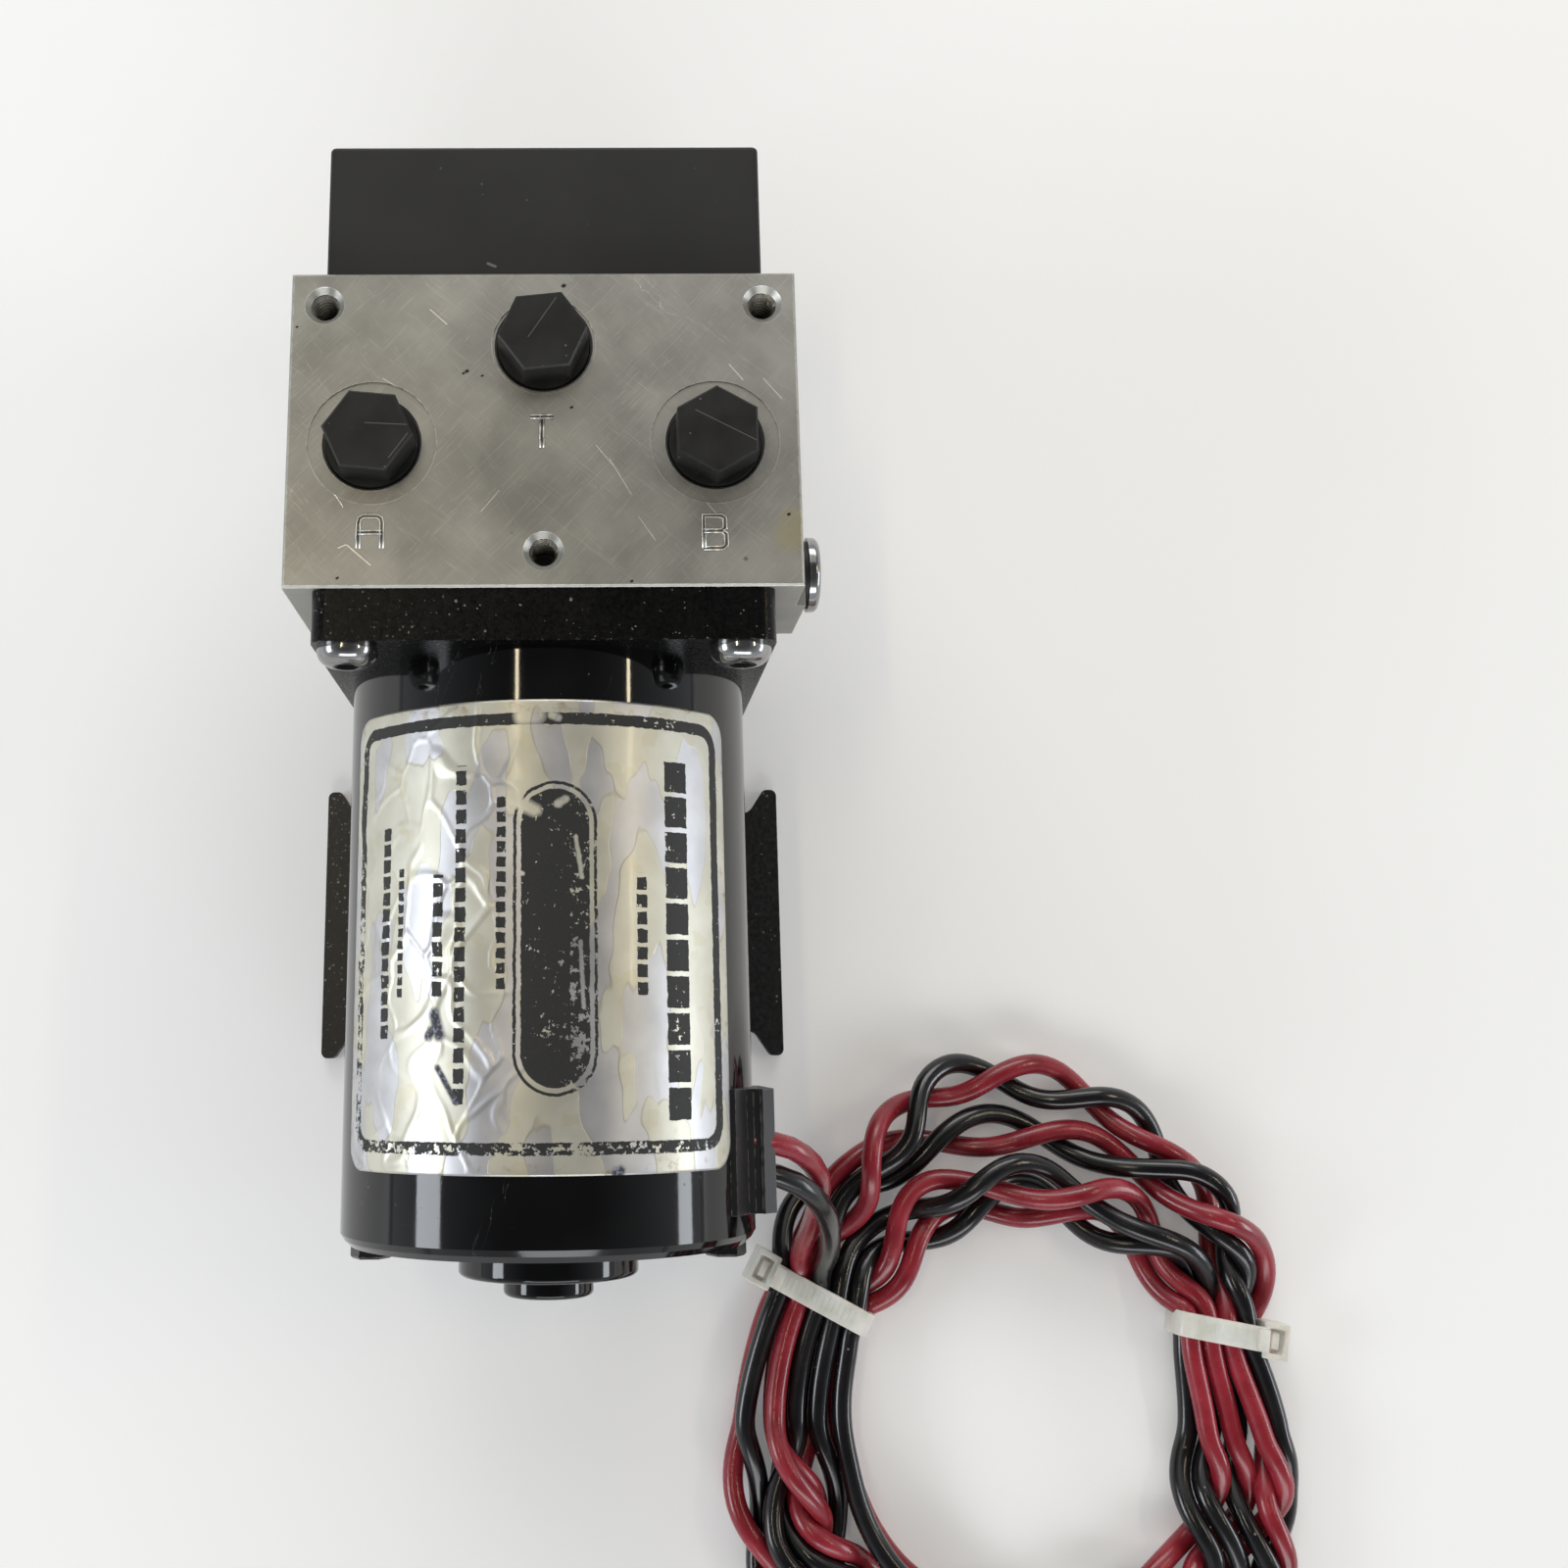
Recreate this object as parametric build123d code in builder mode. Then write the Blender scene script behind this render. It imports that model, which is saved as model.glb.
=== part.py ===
from build123d import *
import os
from math import acos, atan2, cos, degrees, pi, radians, sin, sqrt, tan

os.makedirs("parts", exist_ok=True)

# Reversing pump set: the motor lies along Y, its ports face up (+Z), the reservoir is at +Y.
# The origin is the middle of the bracket's four holes, on the surface that the pump stands on.

# Clearances
fit_gap = 0.05
running_gap = 0.03
loose_gap = 0.3

# Mounting bracket
foot_thickness = 2.8
foot_width = 98.4
foot_neck_length = 46.8
foot_ear_length = 57.0
foot_ear_width = 2.8
foot_ear_slope = 3.4
foot_hole_spacing_x = 76.0
foot_hole_spacing_y = 30.0
foot_hole_radius = 3.4
cradle_inner_x = 9.0
cradle_outer_x = 20.0
cradle_length = 40.0

# Motor can
can_radius = 38.5
can_wall = 3.0
can_lift = 0.2
can_tail_y = -55.8
axis_height = foot_thickness + can_lift + can_radius
can_bore = can_radius - can_wall

# Flange, which is the drive end bell of the motor
block_face_y = 53.0
flange_thickness = 9.6
flange_size = 2 * axis_height
flange_corner = 3.0
flange_face_y = block_face_y - flange_thickness
spigot_depth = 5.0
spigot_wall = 4.4
boss_radius = 17.0
boss_depth = 6.0

# Flange screws, quarter inch, on a 100 mm circle
flange_screw_pcd = 100.0
flange_screw_offset = flange_screw_pcd / 2 * cos(radians(45))
flange_screw_radius = 3.1
flange_screw_reach = 16.0
button_head_radius = 5.55
button_head_height = 3.4
button_socket_radius = 2.3
button_socket_depth = 2.0

# Tail end bell
bell_rim = 3.2
bell_thickness = 5.7
bell_edge = 1.8
bell_spigot = 4.0
tail_boss_radius = 16.7
tail_boss_height = 6.0
tail_cap_radius = 8.35
tail_cap_height = 3.7
tail_face_y = can_tail_y - bell_thickness
tail_boss_y = tail_face_y - tail_boss_height
tail_cap_y = tail_boss_y - tail_cap_height

# Through bolts
bolt_radius = 2.35
bolt_circle = 32.9
bolt_head_radius = 3.9
bolt_head_height = 3.0
bolt_grip = 5.0

# Lead grommet, in a notch at the tail of the can
grommet_length = 21.6
grommet_half_height = 16.0
grommet_outer_x = 41.3
grommet_plate = 2.7
grommet_groove = 0.6
grommet_chamfer = 3.2
grommet_skirt = 1.0
grommet_skirt_half_height = 20.6
notch_half_height = 14.0
grommet_front_y = can_tail_y + grommet_length

# Rotor
shaft_radius = 5.0
armature_radius = 27.2
armature_start_y = -20.0
armature_length = 46.0
slot_count = 14
slot_width = 4.2
slot_depth = 9.5
slot_mouth = 1.8
slot_lip = 1.6
winding_radius = 24.5
winding_bore = 11.0
winding_depth = 8.0
commutator_radius = 13.0
commutator_y = -46.0
commutator_length = 15.0
commutator_bars = 16
bar_groove = 0.7
armature_end_y = armature_start_y + armature_length

# Magnets
magnet_gap = 0.8
magnet_span = 140.0
magnet_overhang = 4.0

# Drive end bearing, 26 mm outside
bearing_radius = 13.0
bearing_width = 8.0
bearing_race = 2.0
ball_count = 8
bearing_front_y = block_face_y - 5.6
bearing_rear_y = bearing_front_y - bearing_width

# Tail bush
bush_radius = 8.0
bush_length = 10.0
bush_rear_y = tail_boss_y + 1.5
bush_front_y = bush_rear_y + bush_length

# Brush gear
brush_board_y = can_tail_y + bell_spigot
brush_board_thickness = 2.0
brush_width = 8.0
brush_length_y = 6.5
brush_height = 12.0
brush_y = commutator_y + commutator_length / 2
holder_wall = 1.2
holder_top = 31.0
brush_spring_wire = 0.45

# Manifold block: a wide slab that carries the ports, on a narrower foot
block_length = 60.2
slab_width = 93.0
slab_thickness = 36.0
port_face_rise = 42.0
block_foot_width = 81.0
block_floor_gap = 0.5
side_pad = 1.8
side_pad_length = 22.0
side_pad_drop = 14.0
port_face_z = axis_height + port_face_rise
slab_bottom_z = port_face_z - slab_thickness
block_end_y = block_face_y + block_length

# Tapped holes in the port face
face_hole_radius = 2.6
face_hole_depth = 12.0
face_hole_chamfer = 1.05
face_hole_x = 40.35
face_hole_edge = 6.3
face_hole_front_edge = 6.6

# Ports
port_x = 31.1
port_ab_inset = 27.1
port_t_inset = 45.9
port_ab_y = block_face_y + port_ab_inset
port_t_y = block_face_y + port_t_inset
port_radius = 8.6
port_depth = 15.0
port_chamfer = 0.7
spotface_radius = 11.7
tank_spotface_radius = 9.5
spotface_depth = 0.25
passage_radius = 3.0

# Port plugs, moulded
plug_flats = 14.3
plug_hex_height = 6.2
plug_collar = 0.6
plug_shank_radius = 8.4
plug_tip_radius = 7.9
plug_shank_length = 12.0

# Lock valve, in a bore across the block
valve_y = block_face_y + 7.5
valve_drop = 20.0
valve_z = port_face_z - valve_drop
valve_bore = 6.0
valve_half_length = 38.0
seat_inner_x = 14.0
seat_length = 5.5
seat_hole = 3.0
poppet_length = 8.0
poppet_lift = 2.0
spool_half_length = 6.0
spool_pin_radius = 1.6
spool_travel = 1.5
valve_spring_wire = 0.6
gallery_x = 10.0
gallery_radius = 2.5
tank_gallery_z = port_face_z - 10.0

# Side plug
side_plug_radius = 7.1
side_plug_height = 2.1
side_plug_socket = 2.9
side_plug_seal_radius = 6.4
side_plug_seal_thickness = 1.0

# Pump
gear_module = 1.5
gear_teeth = 12
gear_width = 12.0
pressure_angle = 25.0
tooth_thinning = 0.2
gear_centres = gear_module * gear_teeth + 0.15
pump_shaft_radius = 4.0
coupling_radius = 10.0
coupling_start_y = 56.0
coupling_length = 14.0
coupling_bore = 12.5
coupling_room = 21.0
seal_radius = 9.0
seal_length = 7.0
pump_body_width = 46.0
pump_body_top = 28.0
pump_body_bottom = 34.0
end_plate_thickness = 8.0
pump_screw_radius = 2.5
pump_screw_head = 4.0
pump_screw_x = 18.0
pump_screw_rise = 22.0
pump_screw_fall = 29.0
idler_z = axis_height - gear_centres
pump_rear_y = block_end_y + gear_width
plate_rear_y = pump_rear_y + end_plate_thickness

# Intake strainer, beside the pump in the reservoir
strainer_radius = 5.5
strainer_wall = 1.0
strainer_length = 16.0
strainer_slots = 4
strainer_slot = 1.5
strainer_bridge = 1.5
strainer_gap = 1.0
strainer_drop = 11.5
strainer_x = pump_body_width / 2 + strainer_gap + strainer_radius
strainer_z = axis_height - strainer_drop

# Reservoir
reservoir_width = 81.8
reservoir_length = 28.3
reservoir_wall = 2.5
reservoir_top_z = port_face_z - 4.2
reservoir_bottom_z = 2.5
reservoir_corner = 1.2
gasket_thickness = 1.2
reservoir_boss = 5.0
reservoir_screw_radius = 2.5
reservoir_screw_inset = 6.6
reservoir_head_radius = 4.6
reservoir_head_sink = 0.2
cross_length = 4.4
cross_width = 0.9
cross_depth = 1.4
reservoir_mouth_y = block_end_y + gasket_thickness
reservoir_end_y = block_end_y + reservoir_length
reservoir_head_y = reservoir_end_y - reservoir_head_sink
reservoir_head_depth = reservoir_head_radius - reservoir_screw_radius
reservoir_height = reservoir_top_z - reservoir_bottom_z
reservoir_mid_z = (reservoir_top_z + reservoir_bottom_z) / 2

# Leads and their coil
lead_diameter = 4.1
coil_height = 11.0
coil_middle = (91.5, -101.0)
coil_half_width = 56.5
coil_half_length = 72.0
coil_hole_middle = (93.0, -102.0)
coil_hole_half_width = 35.5
coil_hole_half_length = 37.5
coil_edge = 2.6
tie_width = 4.8
tie_thickness = 1.2
tie_head_height = 7.0
tie_head_width = 5.4
tie_core_height = 2 * lead_diameter

motor_axis = Axis((0, 0, axis_height), (0, 1, 0))
# Half section of the motor: local x is the place along Y, local y is the radius
motor_section = Plane(origin=(0, 0, axis_height), x_dir=(0, 1, 0), z_dir=(1, 0, 0))


def across(y):
    """A plane across the motor's axis at y: local x is X, local y is Z, extrusion runs to the tail."""
    return Plane(origin=(0, y, 0), x_dir=(1, 0, 0), z_dir=(0, -1, 0))


def sideways(x):
    """A plane across the block at x: local x is Y, local y is Z, extrusion runs to +X."""
    return Plane(origin=(x, 0, 0), x_dir=(0, 1, 0), z_dir=(1, 0, 0))


def turned(points, plane=motor_section, axis=motor_axis):
    """A piece turned about an axis from its half outline."""
    with BuildPart() as piece:
        with BuildSketch(plane):
            with BuildLine():
                Polyline(*points, close=True)
            make_face()
        revolve(axis=axis)
    return piece


def ring(start, end, inner, outer, plane=motor_section, axis=motor_axis):
    """A plain ring, or a rod where inner is 0."""
    return turned([(start, inner), (end, inner), (end, outer), (start, outer)], plane, axis)


# Mounting bracket: a plate with four flared ears and two welded cradle ribs
neck_y = foot_neck_length / 2
ear_y = foot_ear_length / 2
foot_x = foot_width / 2
ear_inner_x = foot_x - foot_ear_width
neck_x = ear_inner_x - foot_ear_slope
with BuildPart() as mounting_bracket:
    with BuildSketch() as foot_outline:
        with BuildLine():
            Polyline(
                (0, 0), (0, neck_y), (neck_x, neck_y), (ear_inner_x, ear_y), (foot_x, ear_y), (foot_x, 0),
                close=True,
            )
        make_face()
        fillet(foot_outline.vertices().group_by(Axis.Y)[-1], radius=foot_ear_width * 0.48)
        fillet(
            foot_outline.vertices().filter_by(lambda v: abs(v.X - neck_x) < 0.01 and v.Y > 1), radius=2.5
        )
        mirror(about=Plane.YZ)
        mirror(about=Plane.XZ)
    extrude(amount=foot_thickness)
    with BuildSketch(Plane.XY.offset(foot_thickness)):
        for side in (-1, 1):
            with Locations((side * (cradle_inner_x + cradle_outer_x) / 2, 0)):
                Rectangle(cradle_outer_x - cradle_inner_x, cradle_length)
    cradle_top = axis_height - sqrt(can_radius**2 - cradle_outer_x**2)
    extrude(amount=cradle_top - foot_thickness)
    with BuildSketch(across(foot_ear_length)):
        with Locations((0, axis_height)):
            Circle(can_radius)
    extrude(amount=2 * foot_ear_length, mode=Mode.SUBTRACT)
    with Locations((0, 0, foot_thickness)):
        with GridLocations(foot_hole_spacing_x, foot_hole_spacing_y, 2, 2):
            Hole(foot_hole_radius, depth=foot_thickness)

# Motor can, a steel tube with a notch for the lead grommet
with BuildPart() as motor_can:
    with BuildSketch(motor_section):
        with BuildLine():
            Polyline(
                (can_tail_y, can_bore), (flange_face_y, can_bore),
                (flange_face_y, can_radius), (can_tail_y, can_radius), close=True,
            )
        make_face()
    revolve(axis=motor_axis)
    with BuildSketch(sideways(0)):
        with Locations((can_tail_y + grommet_length / 2, axis_height)):
            Rectangle(grommet_length, 2 * notch_half_height)
    extrude(amount=2 * can_radius, mode=Mode.SUBTRACT)

# Drive end bell: square flange, spigot in the can, bearing boss
screw_square = [
    (sx * flange_screw_offset, axis_height + sz * flange_screw_offset) for sx in (-1, 1) for sz in (-1, 1)
]
with BuildPart() as drive_end_bell:
    with BuildSketch(across(block_face_y)):
        with Locations((0, axis_height)):
            RectangleRounded(flange_size, flange_size, flange_corner)
        with Locations(*screw_square):
            Circle(flange_screw_radius + loose_gap, mode=Mode.SUBTRACT)
    extrude(amount=flange_thickness)
    with BuildSketch(across(flange_face_y)):
        with Locations((0, axis_height)):
            Circle(can_bore)
            Circle(can_bore - spigot_wall, mode=Mode.SUBTRACT)
            Circle(boss_radius)
    extrude(amount=spigot_depth)
    with BuildSketch(across(flange_face_y - spigot_depth)):
        with Locations((0, axis_height)):
            Circle(boss_radius)
    extrude(amount=boss_depth - spigot_depth)
    with BuildSketch(across(bearing_front_y)):
        with Locations((0, axis_height)):
            Circle(bearing_radius)
    extrude(amount=flange_thickness + boss_depth, mode=Mode.SUBTRACT)
    with BuildSketch(across(block_face_y)):
        with Locations((0, axis_height)):
            Circle(shaft_radius + 2 * loose_gap)
    extrude(amount=flange_thickness, mode=Mode.SUBTRACT)
    with BuildSketch(across(flange_face_y + bolt_grip)):
        with Locations((-bolt_circle, axis_height), (bolt_circle, axis_height)):
            Circle(bolt_radius)
    extrude(amount=bolt_grip + spigot_depth, mode=Mode.SUBTRACT)

# Flange screws: button heads with a hexagon socket, each a solid of its own
with BuildPart() as flange_screws:
    with BuildSketch(across(block_face_y + flange_screw_reach)):
        with Locations(*screw_square):
            Circle(flange_screw_radius)
    extrude(amount=flange_screw_reach + flange_thickness)
    with BuildSketch(across(flange_face_y)):
        with Locations(*screw_square):
            Circle(button_head_radius)
    extrude(amount=button_head_height)
    fillet(
        flange_screws.edges().filter_by(GeomType.CIRCLE).group_by(Axis.Y)[0], radius=button_head_height * 0.85
    )
    with BuildSketch(across(flange_face_y - button_head_height + button_socket_depth)):
        with Locations(*screw_square):
            RegularPolygon(button_socket_radius, 6)
    extrude(amount=button_socket_depth, mode=Mode.SUBTRACT)

# Tail end bell with the two bearing bosses
bell_bore = can_bore - spigot_wall
with BuildPart() as tail_end_bell:
    with BuildSketch(motor_section):
        with BuildLine():
            Polyline(
                (can_tail_y, can_radius),
                (can_tail_y, can_bore),
                (can_tail_y + bell_spigot, can_bore),
                (can_tail_y + bell_spigot, bell_bore),
                (tail_face_y + bell_rim, bell_bore),
                (tail_face_y + bell_rim, bush_radius + 4),
                (bush_front_y, bush_radius + 4),
                (bush_front_y, bush_radius),
                (bush_rear_y, bush_radius),
                (bush_rear_y, shaft_radius + 1),
                (tail_cap_y + 2.4, shaft_radius + 1),
                (tail_cap_y + 2.4, 0),
                (tail_cap_y, 0),
                (tail_cap_y, tail_cap_radius),
                (tail_boss_y, tail_cap_radius),
                (tail_boss_y, tail_boss_radius),
                (tail_face_y, tail_boss_radius),
                (tail_face_y, can_radius - bell_edge),
                (tail_face_y + bell_edge * 0.6, can_radius - bell_edge * 0.35),
                (tail_face_y + bell_edge * 1.2, can_radius),
                close=True,
            )
        make_face()
    revolve(axis=motor_axis)
    bosses = tail_end_bell.edges().filter_by(GeomType.CIRCLE)
    fillet(
        bosses.filter_by(lambda e: abs(e.center().Y - tail_cap_y) < 0.01)
        + bosses.filter_by(lambda e: abs(e.center().Y - tail_boss_y) < 0.01 and e.radius > tail_cap_radius + 1),
        radius=1.0,
    )
    with BuildSketch(across(can_tail_y + bell_spigot)):
        with Locations((-bolt_circle, axis_height), (bolt_circle, axis_height)):
            Circle(bolt_radius + fit_gap)
    extrude(amount=bell_spigot + bell_thickness, mode=Mode.SUBTRACT)

# Through bolts, from the tail into the flange
with BuildPart() as through_bolts:
    with BuildSketch(across(flange_face_y + bolt_grip)):
        with Locations((-bolt_circle, axis_height), (bolt_circle, axis_height)):
            Circle(bolt_radius)
    extrude(amount=flange_face_y + bolt_grip - tail_face_y)
    with BuildSketch(across(tail_face_y)):
        with Locations((-bolt_circle, axis_height), (bolt_circle, axis_height)):
            RegularPolygon(bolt_head_radius, 6)
    extrude(amount=bolt_head_height)
    chamfer(through_bolts.faces().sort_by(Axis.Y)[:2].edges(), length=0.4)

# Lead grommet: a moulded saddle on the can, a plug in the notch and an outer plate
with BuildPart() as lead_grommet:
    with BuildSketch(across(grommet_front_y)) as grommet_section:
        with BuildLine():
            Polyline(
                (can_radius * 0.6, axis_height - grommet_skirt_half_height),
                (grommet_outer_x - grommet_plate - 6, axis_height - grommet_skirt_half_height),
                (grommet_outer_x, axis_height - grommet_half_height),
                (grommet_outer_x, axis_height + grommet_half_height),
                (grommet_outer_x - grommet_plate - 6, axis_height + grommet_skirt_half_height),
                (can_radius * 0.6, axis_height + grommet_skirt_half_height),
                close=True,
            )
        make_face()
        with Locations((0, axis_height)):
            Circle(can_radius + grommet_skirt, mode=Mode.SUBTRACT)
        with Locations((grommet_outer_x / 2, axis_height + grommet_half_height + 10)):
            Rectangle(2 * grommet_outer_x, 20, mode=Mode.SUBTRACT)
        with Locations((grommet_outer_x / 2, axis_height - grommet_half_height - 10)):
            Rectangle(2 * grommet_outer_x, 20, mode=Mode.SUBTRACT)
    extrude(amount=grommet_length)
    with BuildSketch(across(grommet_front_y)):
        with Locations((0, axis_height)):
            Circle(can_radius + grommet_skirt)
            Circle(can_radius, mode=Mode.SUBTRACT)
        with Locations((can_radius, axis_height)):
            Rectangle(can_radius, 2 * grommet_skirt_half_height, mode=Mode.INTERSECT)
    extrude(amount=grommet_length)
    with BuildSketch(across(grommet_front_y)):
        with Locations((0, axis_height)):
            Circle(can_radius)
            Circle(can_bore, mode=Mode.SUBTRACT)
        with Locations((can_radius, axis_height)):
            Rectangle(can_radius, 2 * notch_half_height - 2 * fit_gap, mode=Mode.INTERSECT)
    extrude(amount=grommet_length)
    plate_x = grommet_outer_x - grommet_plate
    for end in (-1, 1):
        with BuildSketch(across(grommet_front_y)):
            with Locations((plate_x - grommet_groove, axis_height + end * grommet_half_height)):
                Rectangle(2 * grommet_groove, 2 * grommet_groove)
        extrude(amount=grommet_length, mode=Mode.SUBTRACT)
    outer = lead_grommet.faces().sort_by(Axis.X)[-1]
    chamfer(outer.edges().filter_by(Axis.Y), length=grommet_chamfer * 0.7)

# Magnets, two arcs above and below the armature
magnet_start_y = armature_start_y - magnet_overhang
magnet_end_y = armature_end_y + magnet_overhang


def magnet(middle_angle):
    """An arc magnet against the can's bore, round the given angle in the X-Z plane."""
    with BuildPart() as piece:
        with BuildSketch(across(magnet_end_y)):
            with Locations((0, axis_height)):
                with BuildLine():
                    start = middle_angle - magnet_span / 2
                    inner_radius = armature_radius + magnet_gap
                    outer_arc = CenterArc((0, axis_height), can_bore, start, magnet_span)
                    inner_arc = CenterArc((0, axis_height), inner_radius, start, magnet_span)
                    Line(outer_arc @ 0, inner_arc @ 0)
                    Line(outer_arc @ 1, inner_arc @ 1)
            make_face()
        extrude(amount=magnet_end_y - magnet_start_y)
    return piece


magnet_upper = magnet(90)
magnet_lower = magnet(-90)

# Armature core, a slotted stack, and its winding
slot_middle = armature_radius - slot_lip - slot_depth / 2
with BuildPart() as armature_core:
    with BuildSketch(across(armature_end_y)):
        with Locations((0, axis_height)):
            Circle(armature_radius)
            Circle(shaft_radius, mode=Mode.SUBTRACT)
            with PolarLocations(slot_middle, slot_count):
                Rectangle(slot_depth, slot_width, mode=Mode.SUBTRACT)
            with PolarLocations(armature_radius, slot_count):
                Rectangle(2 * slot_lip + 1, slot_mouth, mode=Mode.SUBTRACT)
    extrude(amount=armature_length)

with BuildPart() as armature_winding:
    for start_y in (armature_end_y + winding_depth, armature_start_y):
        with BuildSketch(across(start_y)):
            with Locations((0, axis_height)):
                Circle(winding_radius)
                Circle(winding_bore, mode=Mode.SUBTRACT)
        extrude(amount=winding_depth)
    with BuildSketch(across(armature_end_y)):
        with Locations((0, axis_height)):
            with PolarLocations(slot_middle, slot_count):
                Rectangle(slot_depth - 2 * loose_gap, slot_width - 2 * loose_gap)
    extrude(amount=armature_length)
    end_edges = armature_winding.faces().sort_by(Axis.Y)[0].edges()
    end_edges += armature_winding.faces().sort_by(Axis.Y)[-1].edges()
    fillet(end_edges, radius=2.0)

# Commutator with its bars
commutator_end_y = commutator_y + commutator_length
with BuildPart() as commutator:
    with BuildSketch(across(commutator_end_y)):
        with Locations((0, axis_height)):
            Circle(commutator_radius)
            Circle(shaft_radius, mode=Mode.SUBTRACT)
            with PolarLocations(commutator_radius, commutator_bars):
                Rectangle(2 * bar_groove, bar_groove, mode=Mode.SUBTRACT)
    extrude(amount=commutator_length)

shaft_end_y = coupling_start_y + coupling_length / 2
motor_shaft = ring(bush_rear_y, shaft_end_y, 0, shaft_radius)

# Drive end bearing
bearing_middle_y = (bearing_front_y + bearing_rear_y) / 2
inner_race_radius = shaft_radius + bearing_race
outer_race_radius = bearing_radius - bearing_race
ball_radius = (outer_race_radius - inner_race_radius) / 2 - fit_gap
bearing_outer_ring = ring(bearing_rear_y, bearing_front_y, outer_race_radius, bearing_radius)
bearing_inner_ring = ring(bearing_rear_y, bearing_front_y, shaft_radius, inner_race_radius)
ball_circle = (outer_race_radius + inner_race_radius) / 2
with BuildPart() as bearing_balls:
    for i in range(ball_count):
        angle = 2 * pi * i / ball_count
        with Locations((ball_circle * cos(angle), bearing_middle_y, axis_height + ball_circle * sin(angle))):
            Sphere(ball_radius)

tail_bush = ring(bush_rear_y, bush_front_y, shaft_radius + running_gap, bush_radius)

# Brush gear: a board on the tail bell, two holders, two carbon brushes and their springs
brush_board_end_y = brush_board_y + brush_board_thickness
with BuildPart() as brush_board:
    with BuildSketch(across(brush_board_end_y)):
        with Locations((0, axis_height)):
            Circle(can_bore - loose_gap)
            Circle(commutator_radius + 3, mode=Mode.SUBTRACT)
        with Locations((-bolt_circle, axis_height), (bolt_circle, axis_height)):
            Circle(bolt_radius + loose_gap, mode=Mode.SUBTRACT)
        with Locations((can_radius, axis_height)):
            Rectangle(10, 2 * notch_half_height, mode=Mode.SUBTRACT)
    extrude(amount=brush_board_thickness)

holder_inner = commutator_radius + 2.0
with BuildPart() as brush_holders:
    for side in (-1, 1):
        with BuildSketch(Plane.XY.offset(axis_height + side * holder_inner)):
            with Locations((0, brush_y)):
                Rectangle(brush_width + 2 * holder_wall, brush_length_y + 2 * holder_wall)
                Rectangle(brush_width + 2 * fit_gap, brush_length_y + 2 * fit_gap, mode=Mode.SUBTRACT)
        extrude(amount=side * (holder_top - holder_inner))
        foot_start_y = brush_y - brush_length_y / 2 - holder_wall
        with BuildSketch(across(foot_start_y)):
            with Locations((0, axis_height + side * (holder_top + holder_inner) / 2)):
                Rectangle(brush_width, holder_top - holder_inner)
        extrude(amount=foot_start_y - brush_board_end_y)

with BuildPart() as brushes:
    for side in (-1, 1):
        with BuildSketch(Plane.XY.offset(axis_height)):
            with Locations((0, brush_y)):
                Rectangle(brush_width, brush_length_y)
        extrude(amount=side * (commutator_radius + brush_height))
    with BuildSketch(across(brush_y + brush_length_y)):
        with Locations((0, axis_height)):
            Circle(commutator_radius + fit_gap)
    extrude(amount=2 * brush_length_y, mode=Mode.SUBTRACT)


def coil_spring(start, direction, radius, wire, free_length, turns):
    """A compression spring that starts at a point and runs along a direction."""
    base = Plane(origin=start, z_dir=direction)
    path = base * Helix(pitch=(free_length - wire) / turns, height=free_length - wire, radius=radius)
    with BuildPart() as piece:
        with BuildSketch(Plane(origin=path @ 0, z_dir=path % 0)):
            RegularPolygon(wire, 8)
        sweep(path=path)
    return piece


spring_room = holder_top - commutator_radius - brush_height
with BuildPart() as brush_springs:
    for side in (-1, 1):
        seat = (0, brush_y, axis_height + side * (commutator_radius + brush_height + brush_spring_wire))
        add(coil_spring(seat, (0, 0, side), 2.3, brush_spring_wire, spring_room - brush_spring_wire, 3).part)

# Shaft coupling, seal and pump shaft
with BuildPart() as shaft_coupling:
    with BuildSketch(across(coupling_start_y + coupling_length)):
        with Locations((0, axis_height)):
            Circle(coupling_radius)
    extrude(amount=coupling_length)
    with BuildSketch(across(shaft_end_y)):
        with Locations((0, axis_height)):
            Circle(shaft_radius)
    extrude(amount=coupling_length, mode=Mode.SUBTRACT)
    with BuildSketch(across(coupling_start_y + coupling_length)):
        with Locations((0, axis_height)):
            Circle(pump_shaft_radius)
    extrude(amount=coupling_length / 2, mode=Mode.SUBTRACT)

seal_start_y = block_face_y + coupling_room
shaft_seal = ring(seal_start_y, seal_start_y + seal_length, pump_shaft_radius + fit_gap, seal_radius)
pump_shaft = ring(shaft_end_y, plate_rear_y - 1.5, 0, pump_shaft_radius)

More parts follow.
